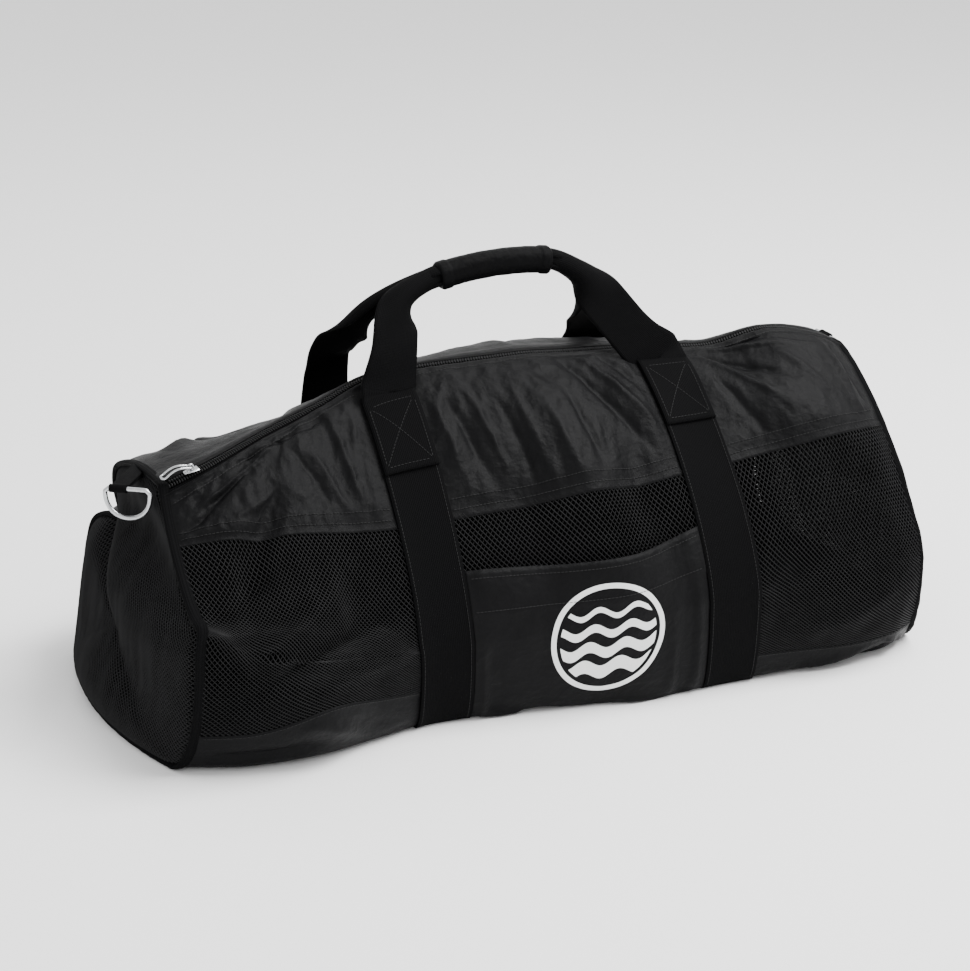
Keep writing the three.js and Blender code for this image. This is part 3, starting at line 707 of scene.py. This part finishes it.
def netRelief(x, share):
    bulge = 4.5 * softNoise(x / 55 + 3, share * 2.4 + x / 90) + 2.2 * softNoise(x / 24, share * 5)
    bulge += creases(netCreases, x, share, netDrop)
    return awayFromStraps(x) * within(share, 0, 1, 0.15) * bulge


def roundedPoint(x, line):
    # the belly is softer between the straps and the ends than the seams there
    spread = 0.2 * peak(line, 1, 0.3) * awayFromStraps(x, 40) * awayFromEnds(x, 50)
    return sum(clothPoint(x, line + spread * step) for step in (-1, -0.6, -0.2, 0.2, 0.6, 1)) / 6


def frontNet(name, fromX, toX, lowest, replaces=()):
    def shape(x, down):
        share = down / netDrop
        line = between(seamLine(x), borderLine(x), share * 1.01 - 0.004)
        return roundedPoint(x, line) + normalOf(clothPoint, x, line) * (netRelief(x, share) - 0.3)[..., None]

    def isInside(x, down):
        return (x >= fromX) & (x <= toX) & (down <= netDrop)

    across, down = (fromX, toX), (0, netDrop * lowest)
    netPiece(name, slantedRuns(tabled(shape, across, down), netSize["front"], across, down, isInside), replaces)


half = strap["width"] / 2
under = half - 6  # the nets run on a little under the straps
frontNet("front_net_left", surface["leftEnd"], strap["leftX"] - under, 1.0, ["front_mesh_panel"])
frontNet("front_net_middle", strap["leftX"] + under, strap["rightX"] - under, 0.5)
frontNet("front_net_right", strap["rightX"] + under, surface["rightEnd"], 1.0)

# Domed ends, and the net on them
endShapes = {
    "left": {"x": -345, "side": -1, "bulge": 24, "cave": 30, "middleY": -16, "middleZ": 84, "tapeDepth": 3.0,
             "rimSwell": 0},
    "right": {"x": 362, "side": 1, "bulge": 16, "cave": 4, "middleY": -18, "middleZ": 100, "tapeDepth": 7.0,
              "rimSwell": 0.42},
}
caveHeight, caveSpread = 172, 36

for shape in endShapes.values():
    shape["loop"] = clothPoint(np.full(360, float(shape["x"])), np.linspace(-3, 3, 360, endpoint=False))
    shape["middleX"] = clothPoint(float(shape["x"]), 1.0)[0]


def aroundMiddle(shape, y, z):
    up, across = z - shape["middleZ"], y - shape["middleY"]
    return np.arctan2(up, across), np.hypot(up, across)


def endSurface(shape, y, z):
    loop = shape["loop"]
    turn, size = aroundMiddle(shape, loop[:, 1], loop[:, 2])
    order = np.argsort(turn)
    angle, reach = aroundMiddle(shape, y, z)
    rim = np.interp(angle, turn[order], size[order], period=2 * math.pi)
    edgeX = np.interp(angle, turn[order], loop[order, 0], period=2 * math.pi)
    share = reach / rim
    fullness = np.maximum(1 - share**3.2, 0)
    cave = shape["cave"] * peak(z, caveHeight, caveSpread)
    push = (shape["bulge"] - cave) * fullness
    tuck = 3.4 * smooth(0.94, 0.99, share)
    folds = fullness * (4 * softNoise(y / 34 + 5, z / 80) + 2.2 * ridges(y / 19, z / 70 + 2))
    x = between(shape["middleX"], edgeX, np.minimum(share * 1.02, 1)) + shape["side"] * (push + 1.4 + folds - tuck)
    return np.stack([x, y, z], -1), share


def endNet(name, place, size, replaces):
    low, high = place["loop"].min(axis=0), place["loop"].max(axis=0)

    def shape(y, z):
        return endSurface(place, y, z)[0]

    def isInside(y, z):
        return endSurface(place, y, z)[1] < 1

    across, down = (low[1], high[1]), (1, high[2] + 3)
    surfaceOf = tabled(shape, across, down, -place["side"])
    runs = slantedRuns(surfaceOf, size, across, down, isInside)
    if place["rimSwell"]:  # thicker strands close the net where it turns under the tape
        shares = [endSurface(place, path[:, 1], path[:, 2])[1][:, None] for path, _, _ in runs]
        runs = [(path, normal, radius * (1 + place["rimSwell"] * smooth(0.78, 0.92, share)))
                for (path, normal, radius), share in zip(runs, shares)]
    netPiece(name, runs, replaces)


for side, shape in endShapes.items():
    endNet(side + "_end_net", shape, netSize[side], [side + "_end_panel"])
print("stage: nets")

# Webbing tape folded over the edge of each end
bindingLook = {"halfWidth": 5.2, "outside": 2.0, "inset": 1.8, "sides": 14, "along": 420}


def bindingPiece(name, shape, replaces):
    count, sides = bindingLook["along"], bindingLook["sides"]
    line = np.linspace(-3, 3, count, endpoint=False)
    x = np.full(count, shape["x"] - shape["side"] * bindingLook["inset"])
    centre = layerPoint(x, line, bindingLook["outside"] - shape["tapeDepth"] + 0.5 * softNoise(line * 9, 3.3))
    outward = normalOf(clothPoint, x, line)
    along = np.array([shape["side"], 0, 0], float)
    turn = np.linspace(0, 2 * math.pi, sides, endpoint=False)
    swell = 1 + 0.1 * softNoise(line * 14, 8.1)[:, None]
    points = ovalRings(centre, turn, 0.75, bindingLook["halfWidth"] * swell, along, shape["tapeDepth"] * swell,
                       outward[:, None])
    points[..., 2] = np.maximum(points[..., 2], 0.15)
    uv = flatMap(np.linspace(0, 22, sides), np.arange(count)[:, None] * 2.1)
    faces = gridFaces(count, sides, True, True)
    if shape["side"] < 0:
        faces = faces[:, ::-1]
    newPiece(name, points, faces, webbing, replaces, uv)


for side, shape in endShapes.items():
    bindingPiece(side + "_end_tape", shape, [side + "_end_binding"])

# Front pocket with a hem and a print
pocketLook = {"fromX": -82.7, "toX": 130.7, "bottomLine": 1.985, "hem": 19, "height": 165, "edgeFade": 14.91}
pocketCreases = [
    [-76, 0.2, -72, 0.95, 5, 3.5],
    [-66, 0.25, -62, 0.8, 7, -2.5],
    [-72, 0.84, -30, 0.88, 8, 5],
    [-70, 0.94, -46, 0.97, 7, -5],
    [-44, 0.9, -6, 0.99, 10, -12],
    [112, 0.12, 106, 0.9, 5, -5],
    [123, 0.15, 121, 0.85, 6, 4],
    [97, 0.3, 95, 0.85, 6, 2.5],
    [40, 0.8, 92, 0.95, 9, 2.5],
]


def pocketRelief(x, share):
    edges = within(x, pocketLook["fromX"], pocketLook["toX"], pocketLook["edgeFade"])
    middle = within(share, 0, 1, 0.12, 0.1)
    crumple = 2.0 * ridges(x / 46 + 1, share * 3.1 + 4) + 0.8 * ridges(x / 15, share * 8)
    gape = 3.2 * (1 - smooth(0, 0.16, share)) * edges
    return edges * (0.25 + 0.75 * middle) * (crumple + creases(pocketCreases, x, share, pocketLook["height"])) + gape


pocketX = np.arange(pocketLook["fromX"], pocketLook["toX"] + 0.1, panelStep * 0.8)[:, None]
shares = np.linspace(0, 1, int(170 / panelStep / 0.8))
pocketLines = between(pocketLine(pocketX), pocketLook["bottomLine"], shares)
hemShare = pocketLook["hem"] / pocketLook["height"]
hemStep = 0.9 * (1 - smooth(hemShare - 0.01, hemShare + 0.005, shares))
relief = 1.5 + pocketRelief(pocketX, shares) + hemStep
lifted = 10 * peak(pocketX, -26, 20) * smooth(0.8, 0.92, shares)
relief = np.maximum(relief, 1.0 - lifted)
relief = np.minimum(relief, np.where(pocketLines > 1.93, 1.7, 99))


def printedNylon():
    finish = nylonFinish("printed_nylon")
    place = finish.place()
    u, v = finish.split(place)
    across, down = (u - printLook["x"] / 1000) * 1000, (v - printLook["down"] / 1000) * 1000
    size = printLook["size"]
    far = (across * across + down * down).root()
    mask = (far - size * 0.95).size() < size * 0.045
    inside = far < size * 0.84
    for height, thickness, phase in printLook["waves"]:
        ripple = (across * (6.283 / printLook["wavelength"]) + phase).sine() * (size * 0.07)
        mask = mask.most(((down - size * height - ripple).size() < size * thickness) * inside)
    wear = finish.noise(place, 900, 3)
    mask = mask * (1 - (wear > 0.68) * 0.35)
    link = finish.shader.inputs["Base Color"].links[0]
    cloth = Wire(finish, link.from_socket)
    finish.feed("Base Color", finish.shade(mask, cloth, printLook["ink"]))
    return finish.material


printLook = {"x": 35, "down": 71, "size": 51, "wavelength": 32, "ink": (0.78, 0.79, 0.78),
             "waves": [(-0.48, 0.05, 0.0), (-0.16, 0.075, 0.9), (0.18, 0.1, 1.8), (0.54, 0.125, 2.7)]}
nylonPanel("pocket_cloth", pocketX, pocketLines, relief, "front_pocket", printedNylon())

# Straps sewn round the bag
strapLook = {"across": 13, "along": 300, "curl": 0.5, "from": 0.05, "to": 0.8, "thickness": 1.6}


def sewnLine(x, share, isFront):
    return between(zipLine(x), seamLine(x), share) if isFront else between(backBorderLine(x), zipBackLine(x), share)


def strapPiece(name, middleX, replaces):
    s = np.linspace(-1, 1, strapLook["across"])
    x = middleX + s * strap["width"] / 2
    start, end = sewnLine(x, strapLook["from"], True), 6 + sewnLine(x, strapLook["to"], False)
    lines = between(start, end, np.linspace(0, 1, strapLook["along"])[:, None])
    onBase = np.abs(lines - 3) < 1.1
    wavy = np.where(onBase, 0, 0.5 * softNoise(x[None] / 40, lines * 5) + strapLook["curl"] * np.abs(s) ** 4 - 0.2)
    points = layerPoint(x[None] + 0 * lines, lines, strap["gap"] + strap["thickness"] + wavy)
    webPiece(name, points, strap["width"], strapLook["thickness"], -1, replaces, turned=True)


for side in ("left", "right"):
    strapPiece(side + "_strap_web", strap[side + "X"], [side + "_strap"])

# Handles: sewn over the straps, then free, and rolled narrow inside the grip
handleLook = {"legWidth": 42, "sewnLift": 3.4, "rows": 190, "across": 15, "rollRadius": 8.6, "thickness": 1.7}
gripLook = {"x": 8, "half": 58, "top": 360.5, "rise": 5.5, "tilt": 2, "deep": 11.5, "high": 12, "insideDeep": 8.6,
            "insideHigh": 9.6, "rings": 90, "sides": 56}
gripArc = [[gripLook["x"] + side * gripLook["half"], 0,
            gripLook["top"] - gripLook["rise"] * side**2 + gripLook["tilt"] * side] for side in (-1, -0.5, 0, 0.5, 1)]
handles = {
    "front": {"face": [0, -1, 0], "gripY": -3, "gather": [314, 354], "shares": [0.7, 0.12],
              "leftLeg": [[-105, -33, 276], [-99, -29, 298], [-92, -20, 324], [-80, -11, 341]],
              "rightLeg": [[93, -8, 341], [112, -20, 314], [138, -37, 280]]},
    "back": {"face": [0, 1, 0], "gripY": 3, "gather": [280, 322], "shares": [0.42, 0.66],
             "leftLeg": [[-111, 108, 246], [-114, 88, 269], [-108, 60, 298], [-97, 38, 321], [-78, 18, 339]],
             "rightLeg": [[96, 17, 338], [116, 42, 314], [136, 76, 282], [149, 104, 252]]},
}


def curveThrough(points, count):
    # a centripetal curve through the points, cut into equal steps
    points = np.asarray(points, float)
    padded = np.concatenate([[2 * points[0] - points[1]], points, [2 * points[-1] - points[-2]]])
    parts = []
    for i in range(1, len(padded) - 2):
        p0, p1, p2, p3 = padded[i - 1:i + 3]
        d0, d1, d2 = (np.linalg.norm(b - a) ** 0.5 for a, b in ((p0, p1), (p1, p2), (p2, p3)))
        pull1 = ((p1 - p0) / d0 - (p2 - p0) / (d0 + d1) + (p2 - p1) / d1) * d1
        pull2 = ((p2 - p1) / d1 - (p3 - p1) / (d1 + d2) + (p3 - p2) / d2) * d1
        t = np.linspace(0, 1, 40, endpoint=False)[:, None]
        parts.append(p1 + pull1 * t + (-3 * p1 + 3 * p2 - 2 * pull1 - pull2) * t**2
                     + (2 * p1 - 2 * p2 + pull1 + pull2) * t**3)
    fine = np.concatenate([*parts, points[-1:]])
    lengths = arcLengths(fine)
    wanted = np.linspace(0, lengths[-1], count)
    return readAlong(wanted, lengths, fine)


def sewnRows(shape, middleX, count, isFront):
    s = np.linspace(-1, 1, handleLook["across"])
    x = middleX + s * strap["width"] / 2
    share = np.linspace(*shape["shares"], count)[:, None]
    line = sewnLine(x, share, isFront)
    return layerPoint(x[None] + 0 * line, line, handleLook["sewnLift"])


def handlePiece(name, shape, isFront, replaces):
    leftSewn = sewnRows(shape, strap["leftX"], 26, isFront)[:, ::1 if isFront else -1]
    rightSewn = sewnRows(shape, strap["rightX"], 26, isFront)[::-1, ::-1 if isFront else 1]
    middle = handleLook["across"] // 2
    grip = [[x, shape["gripY"], z] for x, _, z in gripArc]
    route = [leftSewn[-1, middle], *shape["leftLeg"], *grip, *shape["rightLeg"], rightSewn[0, middle]]
    count = handleLook["rows"]
    path = curveThrough(route, count + 2)
    along = unit(np.gradient(path, axis=0))[1:-1]
    path = path[1:-1]
    share = ((np.arange(count) + 1) / (count + 1))[:, None]
    near = smooth(0, 0.13, np.minimum(share, 1 - share))
    sewn = np.where(share < 0.5, unit(leftSewn[-1, -1] - leftSewn[-1, 0]), unit(rightSewn[0, -1] - rightSewn[0, 0]))
    across = sewn * (1 - near) + unit(np.cross(along, shape["face"])) * near
    across = unit(across - along * np.sum(across * along, -1, keepdims=True))
    face = unit(np.cross(across, along))
    gather = smooth(*shape["gather"], path[:, 2])[:, None]
    width = strap["width"] + (handleLook["legWidth"] - strap["width"]) * near + 4 * gather
    s = np.linspace(-1, 1, handleLook["across"])
    bend = np.maximum(gather / handleLook["rollRadius"], 1e-4)
    angle = bend * width / 2 * s
    sideways = np.sin(angle) / bend
    backwards = (1 - np.cos(angle)) / bend - gather * 5
    ripple = 0.6 * softNoise(share * 16, s * 1.5 + 4) * (1 - gather)
    free = (path[:, None] + across[:, None] * sideways[..., None]
            + face[:, None] * (ripple - backwards)[..., None])
    points = np.concatenate([leftSewn, free, rightSewn])
    webPiece(name, points, strap["width"], handleLook["thickness"], 0, replaces)


for side, shape in handles.items():
    handlePiece(side + "_handle_web", shape, side == "front", [side + "_handle"])


def gripPiece():
    rings, sides = gripLook["rings"], gripLook["sides"]
    path = curveThrough(gripArc, rings + 8)[4:-4]
    along = unit(np.gradient(path, axis=0))
    up = unit(np.cross(along, [0, 1, 0])) * -1
    up *= np.sign(up[:, 2:3])
    turn = np.linspace(0, 2 * math.pi, sides, endpoint=False)
    share = np.linspace(0, 1, rings)[:, None]
    lumps = 0.55 * softNoise(share * 9, turn / 1.4) + 0.35 * ridges(share * 20, turn * 1.1)
    hems = 0.9 * (1 - smooth(0.085, 0.1, share) + smooth(0.9, 0.915, share))
    seam = 0.9 * peak(turn, 4.2, 0.16)
    ends = 1 - 0.12 * (1 - smooth(0, 0.02, share)) - 0.12 * smooth(0.98, 1, share)
    swell = lumps + hems + seam

    def ring(deep, high, power, extra):
        return ovalRings(path, turn, power, deep + extra, np.array([0, 1.0, 0]), high + extra, up[:, None])

    outer = ring(gripLook["deep"] * ends, gripLook["high"] * ends, 0.9, swell - 0.5)
    inner = ring(gripLook["insideDeep"] + 0 * share, gripLook["insideHigh"] + 0 * share, 0.8, 0)
    points = np.concatenate([outer, inner[::-1]])
    length = np.concatenate([share[:, 0], 1 + share[:, 0]]) * 2 * gripLook["half"]
    uv = flatMap(turn[None] * 12, length[:, None])
    faces = gridFaces(len(points), sides, True, True)
    cloth = nylonFinish("grip_cloth", gripClothLook).material
    return newPiece("grip_padding", points, faces, cloth, ["grip_wrap"], uv)


grip = gripPiece()
print("stage: straps, handles and grip")

# Zip: tapes, two rows of teeth, slider and pull
zipLook = {"pitch": 2.5, "fromX": -338, "toX": 354, "tooth": (1.5, 3.6, 2.0), "bevel": 0.5, "fromMiddle": 1.5,
           "tape": 1.0, "reaches": [3.0, 5.0, 7.5, 10.0, 14.2]}
tapeX = np.arange(surface["leftEnd"] + 1, surface["rightEnd"] - 1, 4.0)[:, None]
for side in ("front", "back"):
    reaches = np.array(zipLook["reaches"])
    lines = zipLine(tapeX, reaches) if side == "front" else zipBackLine(tapeX, reaches[::-1])
    clothGrid("zip_tape_" + side + "_web", tapeX, lines, -0.1 + 0.25 * softNoise(tapeX / 9, lines * 9),
              webbing, zipLook["tape"], "zip_tape_" + side)


def takeTemplate():
    piece = activePiece()
    points = np.array([piece.matrix_world @ v.co for v in piece.data.vertices]) * 1000
    faces = [list(face.vertices) for face in piece.data.polygons]
    bpy.data.objects.remove(piece)
    return points, faces


def toothTemplate():
    piece = made(bpy.ops.mesh.primitive_cube_add, size=0.001)
    piece.scale = zipLook["tooth"]
    bpy.ops.object.transform_apply(scale=True)
    edited(bpy.ops.mesh.bevel, offset=zipLook["bevel"] / 1000, segments=1, affect="EDGES")
    return takeTemplate()


def scatter(name, template, centres, alongs, normals, slotName, material, replaces=()):
    base, faces = template
    alongs, normals = unit(alongs), unit(normals)
    acrosses = unit(np.cross(normals, alongs))
    axes = (alongs, acrosses, np.cross(alongs, acrosses))
    points = centres[:, None] + sum(axis[:, None] * base[None, :, i:i + 1] for i, axis in enumerate(axes))
    everyFace = [[i + k * len(base) for i in face] for k in range(len(centres)) for face in faces]
    newPiece(name, points, everyFace, material, replaces)


centres, alongs, normals = [], [], []
for side, start in ((True, 0.0), (False, 0.5)):
    x = np.arange(zipLook["fromX"] + start * zipLook["pitch"], zipLook["toX"], zipLook["pitch"])
    line = zipLine(x, zipLook["fromMiddle"]) if side else zipBackLine(x, zipLook["fromMiddle"])
    centres.append(layerPoint(x, line, 0.2))
    alongs.append(clothPoint(x + 1, line) - clothPoint(x - 1, line))
    normals.append(normalOf(clothPoint, x, line))
scatter("zip_teeth", toothTemplate(), *(np.concatenate(part) for part in (centres, alongs, normals)),
        "zip_coil", coil, replaces=["zip_chain"])


# Hard pieces are made about their own pins and then set where the source has them.
def settle(piece, matrix, name, material, body, replaces):
    piece.data.transform(matrix)
    piece.name = piece.data.name = name
    piece.data.materials.clear()
    declare(piece, material, body, replaces)


def wirePiece(points, radius):
    curve = made(bpy.ops.curve.primitive_bezier_circle_add).data
    curve.splines.clear()
    spline = curve.splines.new("POLY")
    spline.points.add(len(points) - 1)
    for target, point in zip(spline.points, points):
        target.co = (*[value / 1000 for value in point], 1)
    spline.use_cyclic_u = True
    curve.dimensions = "3D"
    curve.bevel_depth = radius / 1000
    curve.bevel_resolution = 4
    bpy.ops.object.convert(target="MESH")
    return activePiece()


pin = {"x": -297.594, "y": -36.356, "z": 229.079, "tilt": -0.24}
pullLook = {"length": 24, "hinge": 3.4, "end": 4.6, "round": 2.2, "arch": 3.5, "wire": 1.0}
sliderLook = {"length": 13, "width": 9, "narrowing": 0.45, "plate": 1.5, "eyeHeight": 3.8, "bridge": 3.1, "bar": 0.8}
pinPlace = Matrix.Translation([pin[axis] / 1000 for axis in "xyz"]) @ Matrix.Rotation(pin["tilt"], 4, "Y")


def pullPoints():
    length, points = pullLook["length"], []
    for share in np.linspace(0, 1, 12):
        points.append([-length * share, -between(pullLook["hinge"], pullLook["end"], share),
                       pullLook["arch"] * math.sin(share * math.pi)])
    for angle in np.linspace(-80, 80, 9):
        turn = math.radians(angle)
        points.append([-length - pullLook["round"] * math.cos(turn), pullLook["end"] * math.sin(turn), 0.2])
    mirrored = [[x, -y, z] for x, y, z in points[11::-1]]
    hinge = [[0.4, y * pullLook["hinge"], 0] for y in (0.8, 0.3, -0.3, -0.8)]
    return points + mirrored + hinge


settle(wirePiece(pullPoints(), pullLook["wire"]), pinPlace, "pull_wire", metal, "pull", ["zip_pull"])


def sliderPiece():
    below = (sliderLook["eyeHeight"] - sliderLook["plate"] / 2) / 1000
    plate = made(bpy.ops.mesh.primitive_cube_add, size=0.001, location=(0, 0, -below))
    plate.scale = (sliderLook["length"], sliderLook["width"], sliderLook["plate"])
    bpy.ops.object.transform_apply(location=True, scale=True)
    edited(bpy.ops.mesh.subdivide, number_cuts=2)
    for vertex in plate.data.vertices:
        if vertex.co.x < 0:
            vertex.co.y *= 1 - sliderLook["narrowing"] * abs(vertex.co.x) / (sliderLook["length"] / 2000)
    applyModifier(plate, "BEVEL", width=0.0005, segments=2)
    bridge = made(bpy.ops.mesh.primitive_torus_add, major_radius=sliderLook["bridge"] / 1000,
                  minor_radius=sliderLook["bar"] / 1000, major_segments=28, minor_segments=12,
                  rotation=(math.pi / 2, 0, 0), location=(0, 0, -sliderLook["bar"] / 1000))
    bpy.ops.object.transform_apply(location=True, rotation=True)
    cleared()
    bridge.select_set(True)
    plate.select_set(True)
    bpy.context.view_layer.objects.active = plate
    bpy.ops.object.join()
    return activePiece()


settle(sliderPiece(), pinPlace, "slider_body", metal, bag, ["zip_slider"])

ringLook = {"bar": 40, "straight": 16.5, "shoulder": 3, "drop": 26, "wire": 2.0}
tabLook = {"width": 15, "radius": 3.05, "thickness": 1.3, "tailStart": 5, "apart": 0.95}
ringPlaces = [
    {"side": "left", "x": -345, "y": -38, "z": 212.6, "turn": -0.6435, "tabX": -8, "tailEnd": 37.4, "skew": -1.3333},
    {"side": "right", "x": 371, "y": 30, "z": 241, "turn": math.pi / 2, "tabX": 0, "tailEnd": 24.2, "skew": 0},
]


def ringPoints():
    points = [[x, 0, 0] for x in np.linspace(-ringLook["straight"], ringLook["straight"], 8)]
    for angle in np.linspace(0, math.pi, 41):
        reach = ringLook["bar"] / 2 * math.cos(angle)
        drop = between(ringLook["shoulder"], ringLook["drop"], math.sin(angle) ** 0.8)
        points.append([reach, 0, -drop])
    return points


def tabPiece(place):
    # a loop of tape round the ring's bar, with two tails to the seam
    width, radius = tabLook["width"], tabLook["radius"]
    x = place["tabX"] + np.linspace(-1, 1, 9) * width / 2
    end = place["tailEnd"] + place["skew"] * x
    turn = np.linspace(-math.pi / 2, -3 * math.pi / 2, 17)
    tail = [between(tabLook["tailStart"], end, share) for share in np.linspace(0, 1, 10)]
    rows = [(x, y, 0 * x - tabLook["apart"]) for y in tail[::-1]]
    rows += [(x, 0 * x + math.cos(t) * radius, 0 * x + math.sin(t) * radius) for t in turn]
    rows += [(x, y, 0 * x + tabLook["apart"]) for y in tail]
    local = np.stack([np.stack(row, -1) for row in rows])
    cosine, sine = math.cos(place["turn"]), math.sin(place["turn"])
    points = np.stack([place["x"] + local[..., 0] * cosine - local[..., 1] * sine,
                       place["y"] + local[..., 0] * sine + local[..., 1] * cosine, place["z"] + local[..., 2]], -1)
    webPiece(place["side"] + "_tab_web", points, width, tabLook["thickness"], 0, [place["side"] + "_ring_tab"])


for place in ringPlaces:
    start = toScene([place[axis] for axis in "xyz"])[0].tolist()
    where = Matrix.Translation(start) @ Matrix.Rotation(place["turn"], 4, "Z")
    settle(wirePiece(ringPoints(), ringLook["wire"]), where, place["side"] + "_d_ring", metal,
           "ring_" + place["side"], [place["side"] + "_ring"])
    tabPiece(place)
print("stage: zip and rings")

# Stitching
stitchLook = {"pitch": 3.3, "length": 2.5, "radius": 0.3, "bevel": 0.12, "fromEdge": 3, "boxHalf": 21,
              "underSeam": 0.72, "atBase": 1.9, "backRows": (4.1, 5.35), "onStrap": 2.3}


def stitchTemplate():
    made(bpy.ops.mesh.primitive_cylinder_add, vertices=5, radius=stitchLook["radius"] / 1000,
         depth=stitchLook["length"] / 1000, rotation=(0, math.pi / 2, 0))
    bpy.ops.object.transform_apply(rotation=True)
    edited(bpy.ops.mesh.bevel, offset=stitchLook["bevel"] / 1000, segments=1, affect="EDGES")
    return takeTemplate()


stitchRows = []


def stitchAlong(path, normal):
    lengths = arcLengths(path)
    wanted = np.arange(stitchLook["pitch"], lengths[-1] - stitchLook["pitch"], stitchLook["pitch"])
    if not len(wanted):
        return
    rows = (path, np.gradient(path, axis=0), normal)
    stitchRows.append([readAlong(wanted, lengths, values) for values in rows])


def stitchOnCloth(x, line, offset):
    x, line = matched(x, line)
    stitchAlong(layerPoint(x, line, offset), normalOf(clothPoint, x, line))


edges = [surface["leftEnd"] + 6, strap["leftX"] - half, strap["leftX"] + half, strap["rightX"] - half,
         strap["rightX"] + half, surface["rightEnd"] - 6]
for fromX, toX in zip(edges[::2], edges[1::2]):
    x = np.linspace(fromX, toX, 90)
    for inset in (2.5, 8):
        line = seamLine(x) - inset / clothLook["upperDrop"] * 0.75
        stitchOnCloth(x, line, upperRelief(x, upperShare(x, line)) + 0.5)
    line = zipLine(x, 13)
    stitchOnCloth(x, line, upperRelief(x, upperShare(x, line)) + 1.7)
    stitchOnCloth(x, zipBackLine(x, 12.5), 1.3)
    stitchOnCloth(x, borderLine(x) + 0.008, 0.8)
for middleX in (strap["leftX"], strap["rightX"]):
    for side in (-1, 1):
        x = np.full(200, middleX + side * (half - stitchLook["fromEdge"]))
        top = float(seamLine(x[:1])[0]) * stitchLook["underSeam"]
        for fromLine, toLine in ((top, stitchLook["atBase"]), stitchLook["backRows"]):
            stitchOnCloth(x, np.linspace(fromLine, toLine, 200), stitchLook["onStrap"])
    for isFront, first, last in ((True, 0.66, 0.2), (False, 0.45, 0.63)):
        box = stitchLook["boxHalf"]
        corners = [(-box, first), (box, first), (box, last), (-box, last), (-box, first), (box, last)]
        for (x1, s1), (x2, s2) in [*zip(corners, corners[1:]), (corners[1], corners[3])]:
            x = middleX + np.linspace(x1, x2, 40)
            share = np.linspace(s1, s2, 40)
            stitchOnCloth(x, sewnLine(x, share, isFront), handleLook["sewnLift"] + 1.0)
x = np.linspace(pocketLook["fromX"] + 2, pocketLook["toX"] - 2, 90)
for inset in (3.0, pocketLook["hem"] - 3.0):
    share = inset / pocketLook["height"]
    line = between(pocketLine(x), pocketLook["bottomLine"], share)
    stitchOnCloth(x, line, 2.6 + pocketRelief(x, share))
stitched = [np.concatenate(part) for part in zip(*stitchRows)]
scatter("stitches", stitchTemplate(), *stitched, "webbing", thread)
print("stage: stitching")

# Floor, light and camera
room = {"floor": (0.97, 0.97, 0.97), "floorSize": 14, "sky": 1.2}
lights = {"key_light": {"place": (1.1, -0.5, 2.2), "size": (1.6, 1.6), "power": 130},
          "side_light": {"place": (-1.6, -1.6, 1.2), "size": (1.6, 1.2), "power": 4},
          "rim_light": {"place": (0.4, 1.6, 1.7), "size": (2.0, 0.8), "power": 6}}
view = {"target": (-0.0038, 0.0151, 0.1521), "away": (-0.38222, -0.85847, 0.34202), "distance": 2.4,
        "focalPixels": 2640, "widthPixels": 970, "sensor": 36}
floor = made(bpy.ops.mesh.primitive_plane_add, size=room["floorSize"], location=(0, 0, 0))
floor.name = "studio_floor"
floor.data.materials.append(Finish("floor", Roughness=0.7, Base_Color=(*room["floor"], 1)).material)

world = bpy.data.worlds.new("studio")
bpy.context.scene.world = world
world.use_nodes = True
sky = world.node_tree.nodes["Background"].inputs
sky["Color"].default_value = (1, 1, 1, 1)
sky["Strength"].default_value = room["sky"]

target, away = Vector(view["target"]), Vector(view["away"])


def softLight(name, place, size, power):
    light = made(bpy.ops.object.light_add, type="AREA", location=place)
    light.name = name
    light.data.shape = "RECTANGLE"
    light.data.size, light.data.size_y = size
    light.data.energy = power
    light.rotation_euler = (target - Vector(place)).to_track_quat("-Z", "Y").to_euler()


for name, light in lights.items():
    softLight(name, **light)

camera = made(bpy.ops.object.camera_add, location=target + away * view["distance"])
camera.rotation_euler = (-away).to_track_quat("-Z", "Y").to_euler()
camera.data.sensor_width = view["sensor"]
camera.data.lens = view["sensor"] * view["focalPixels"] / view["widthPixels"]
bpy.context.scene.camera = camera
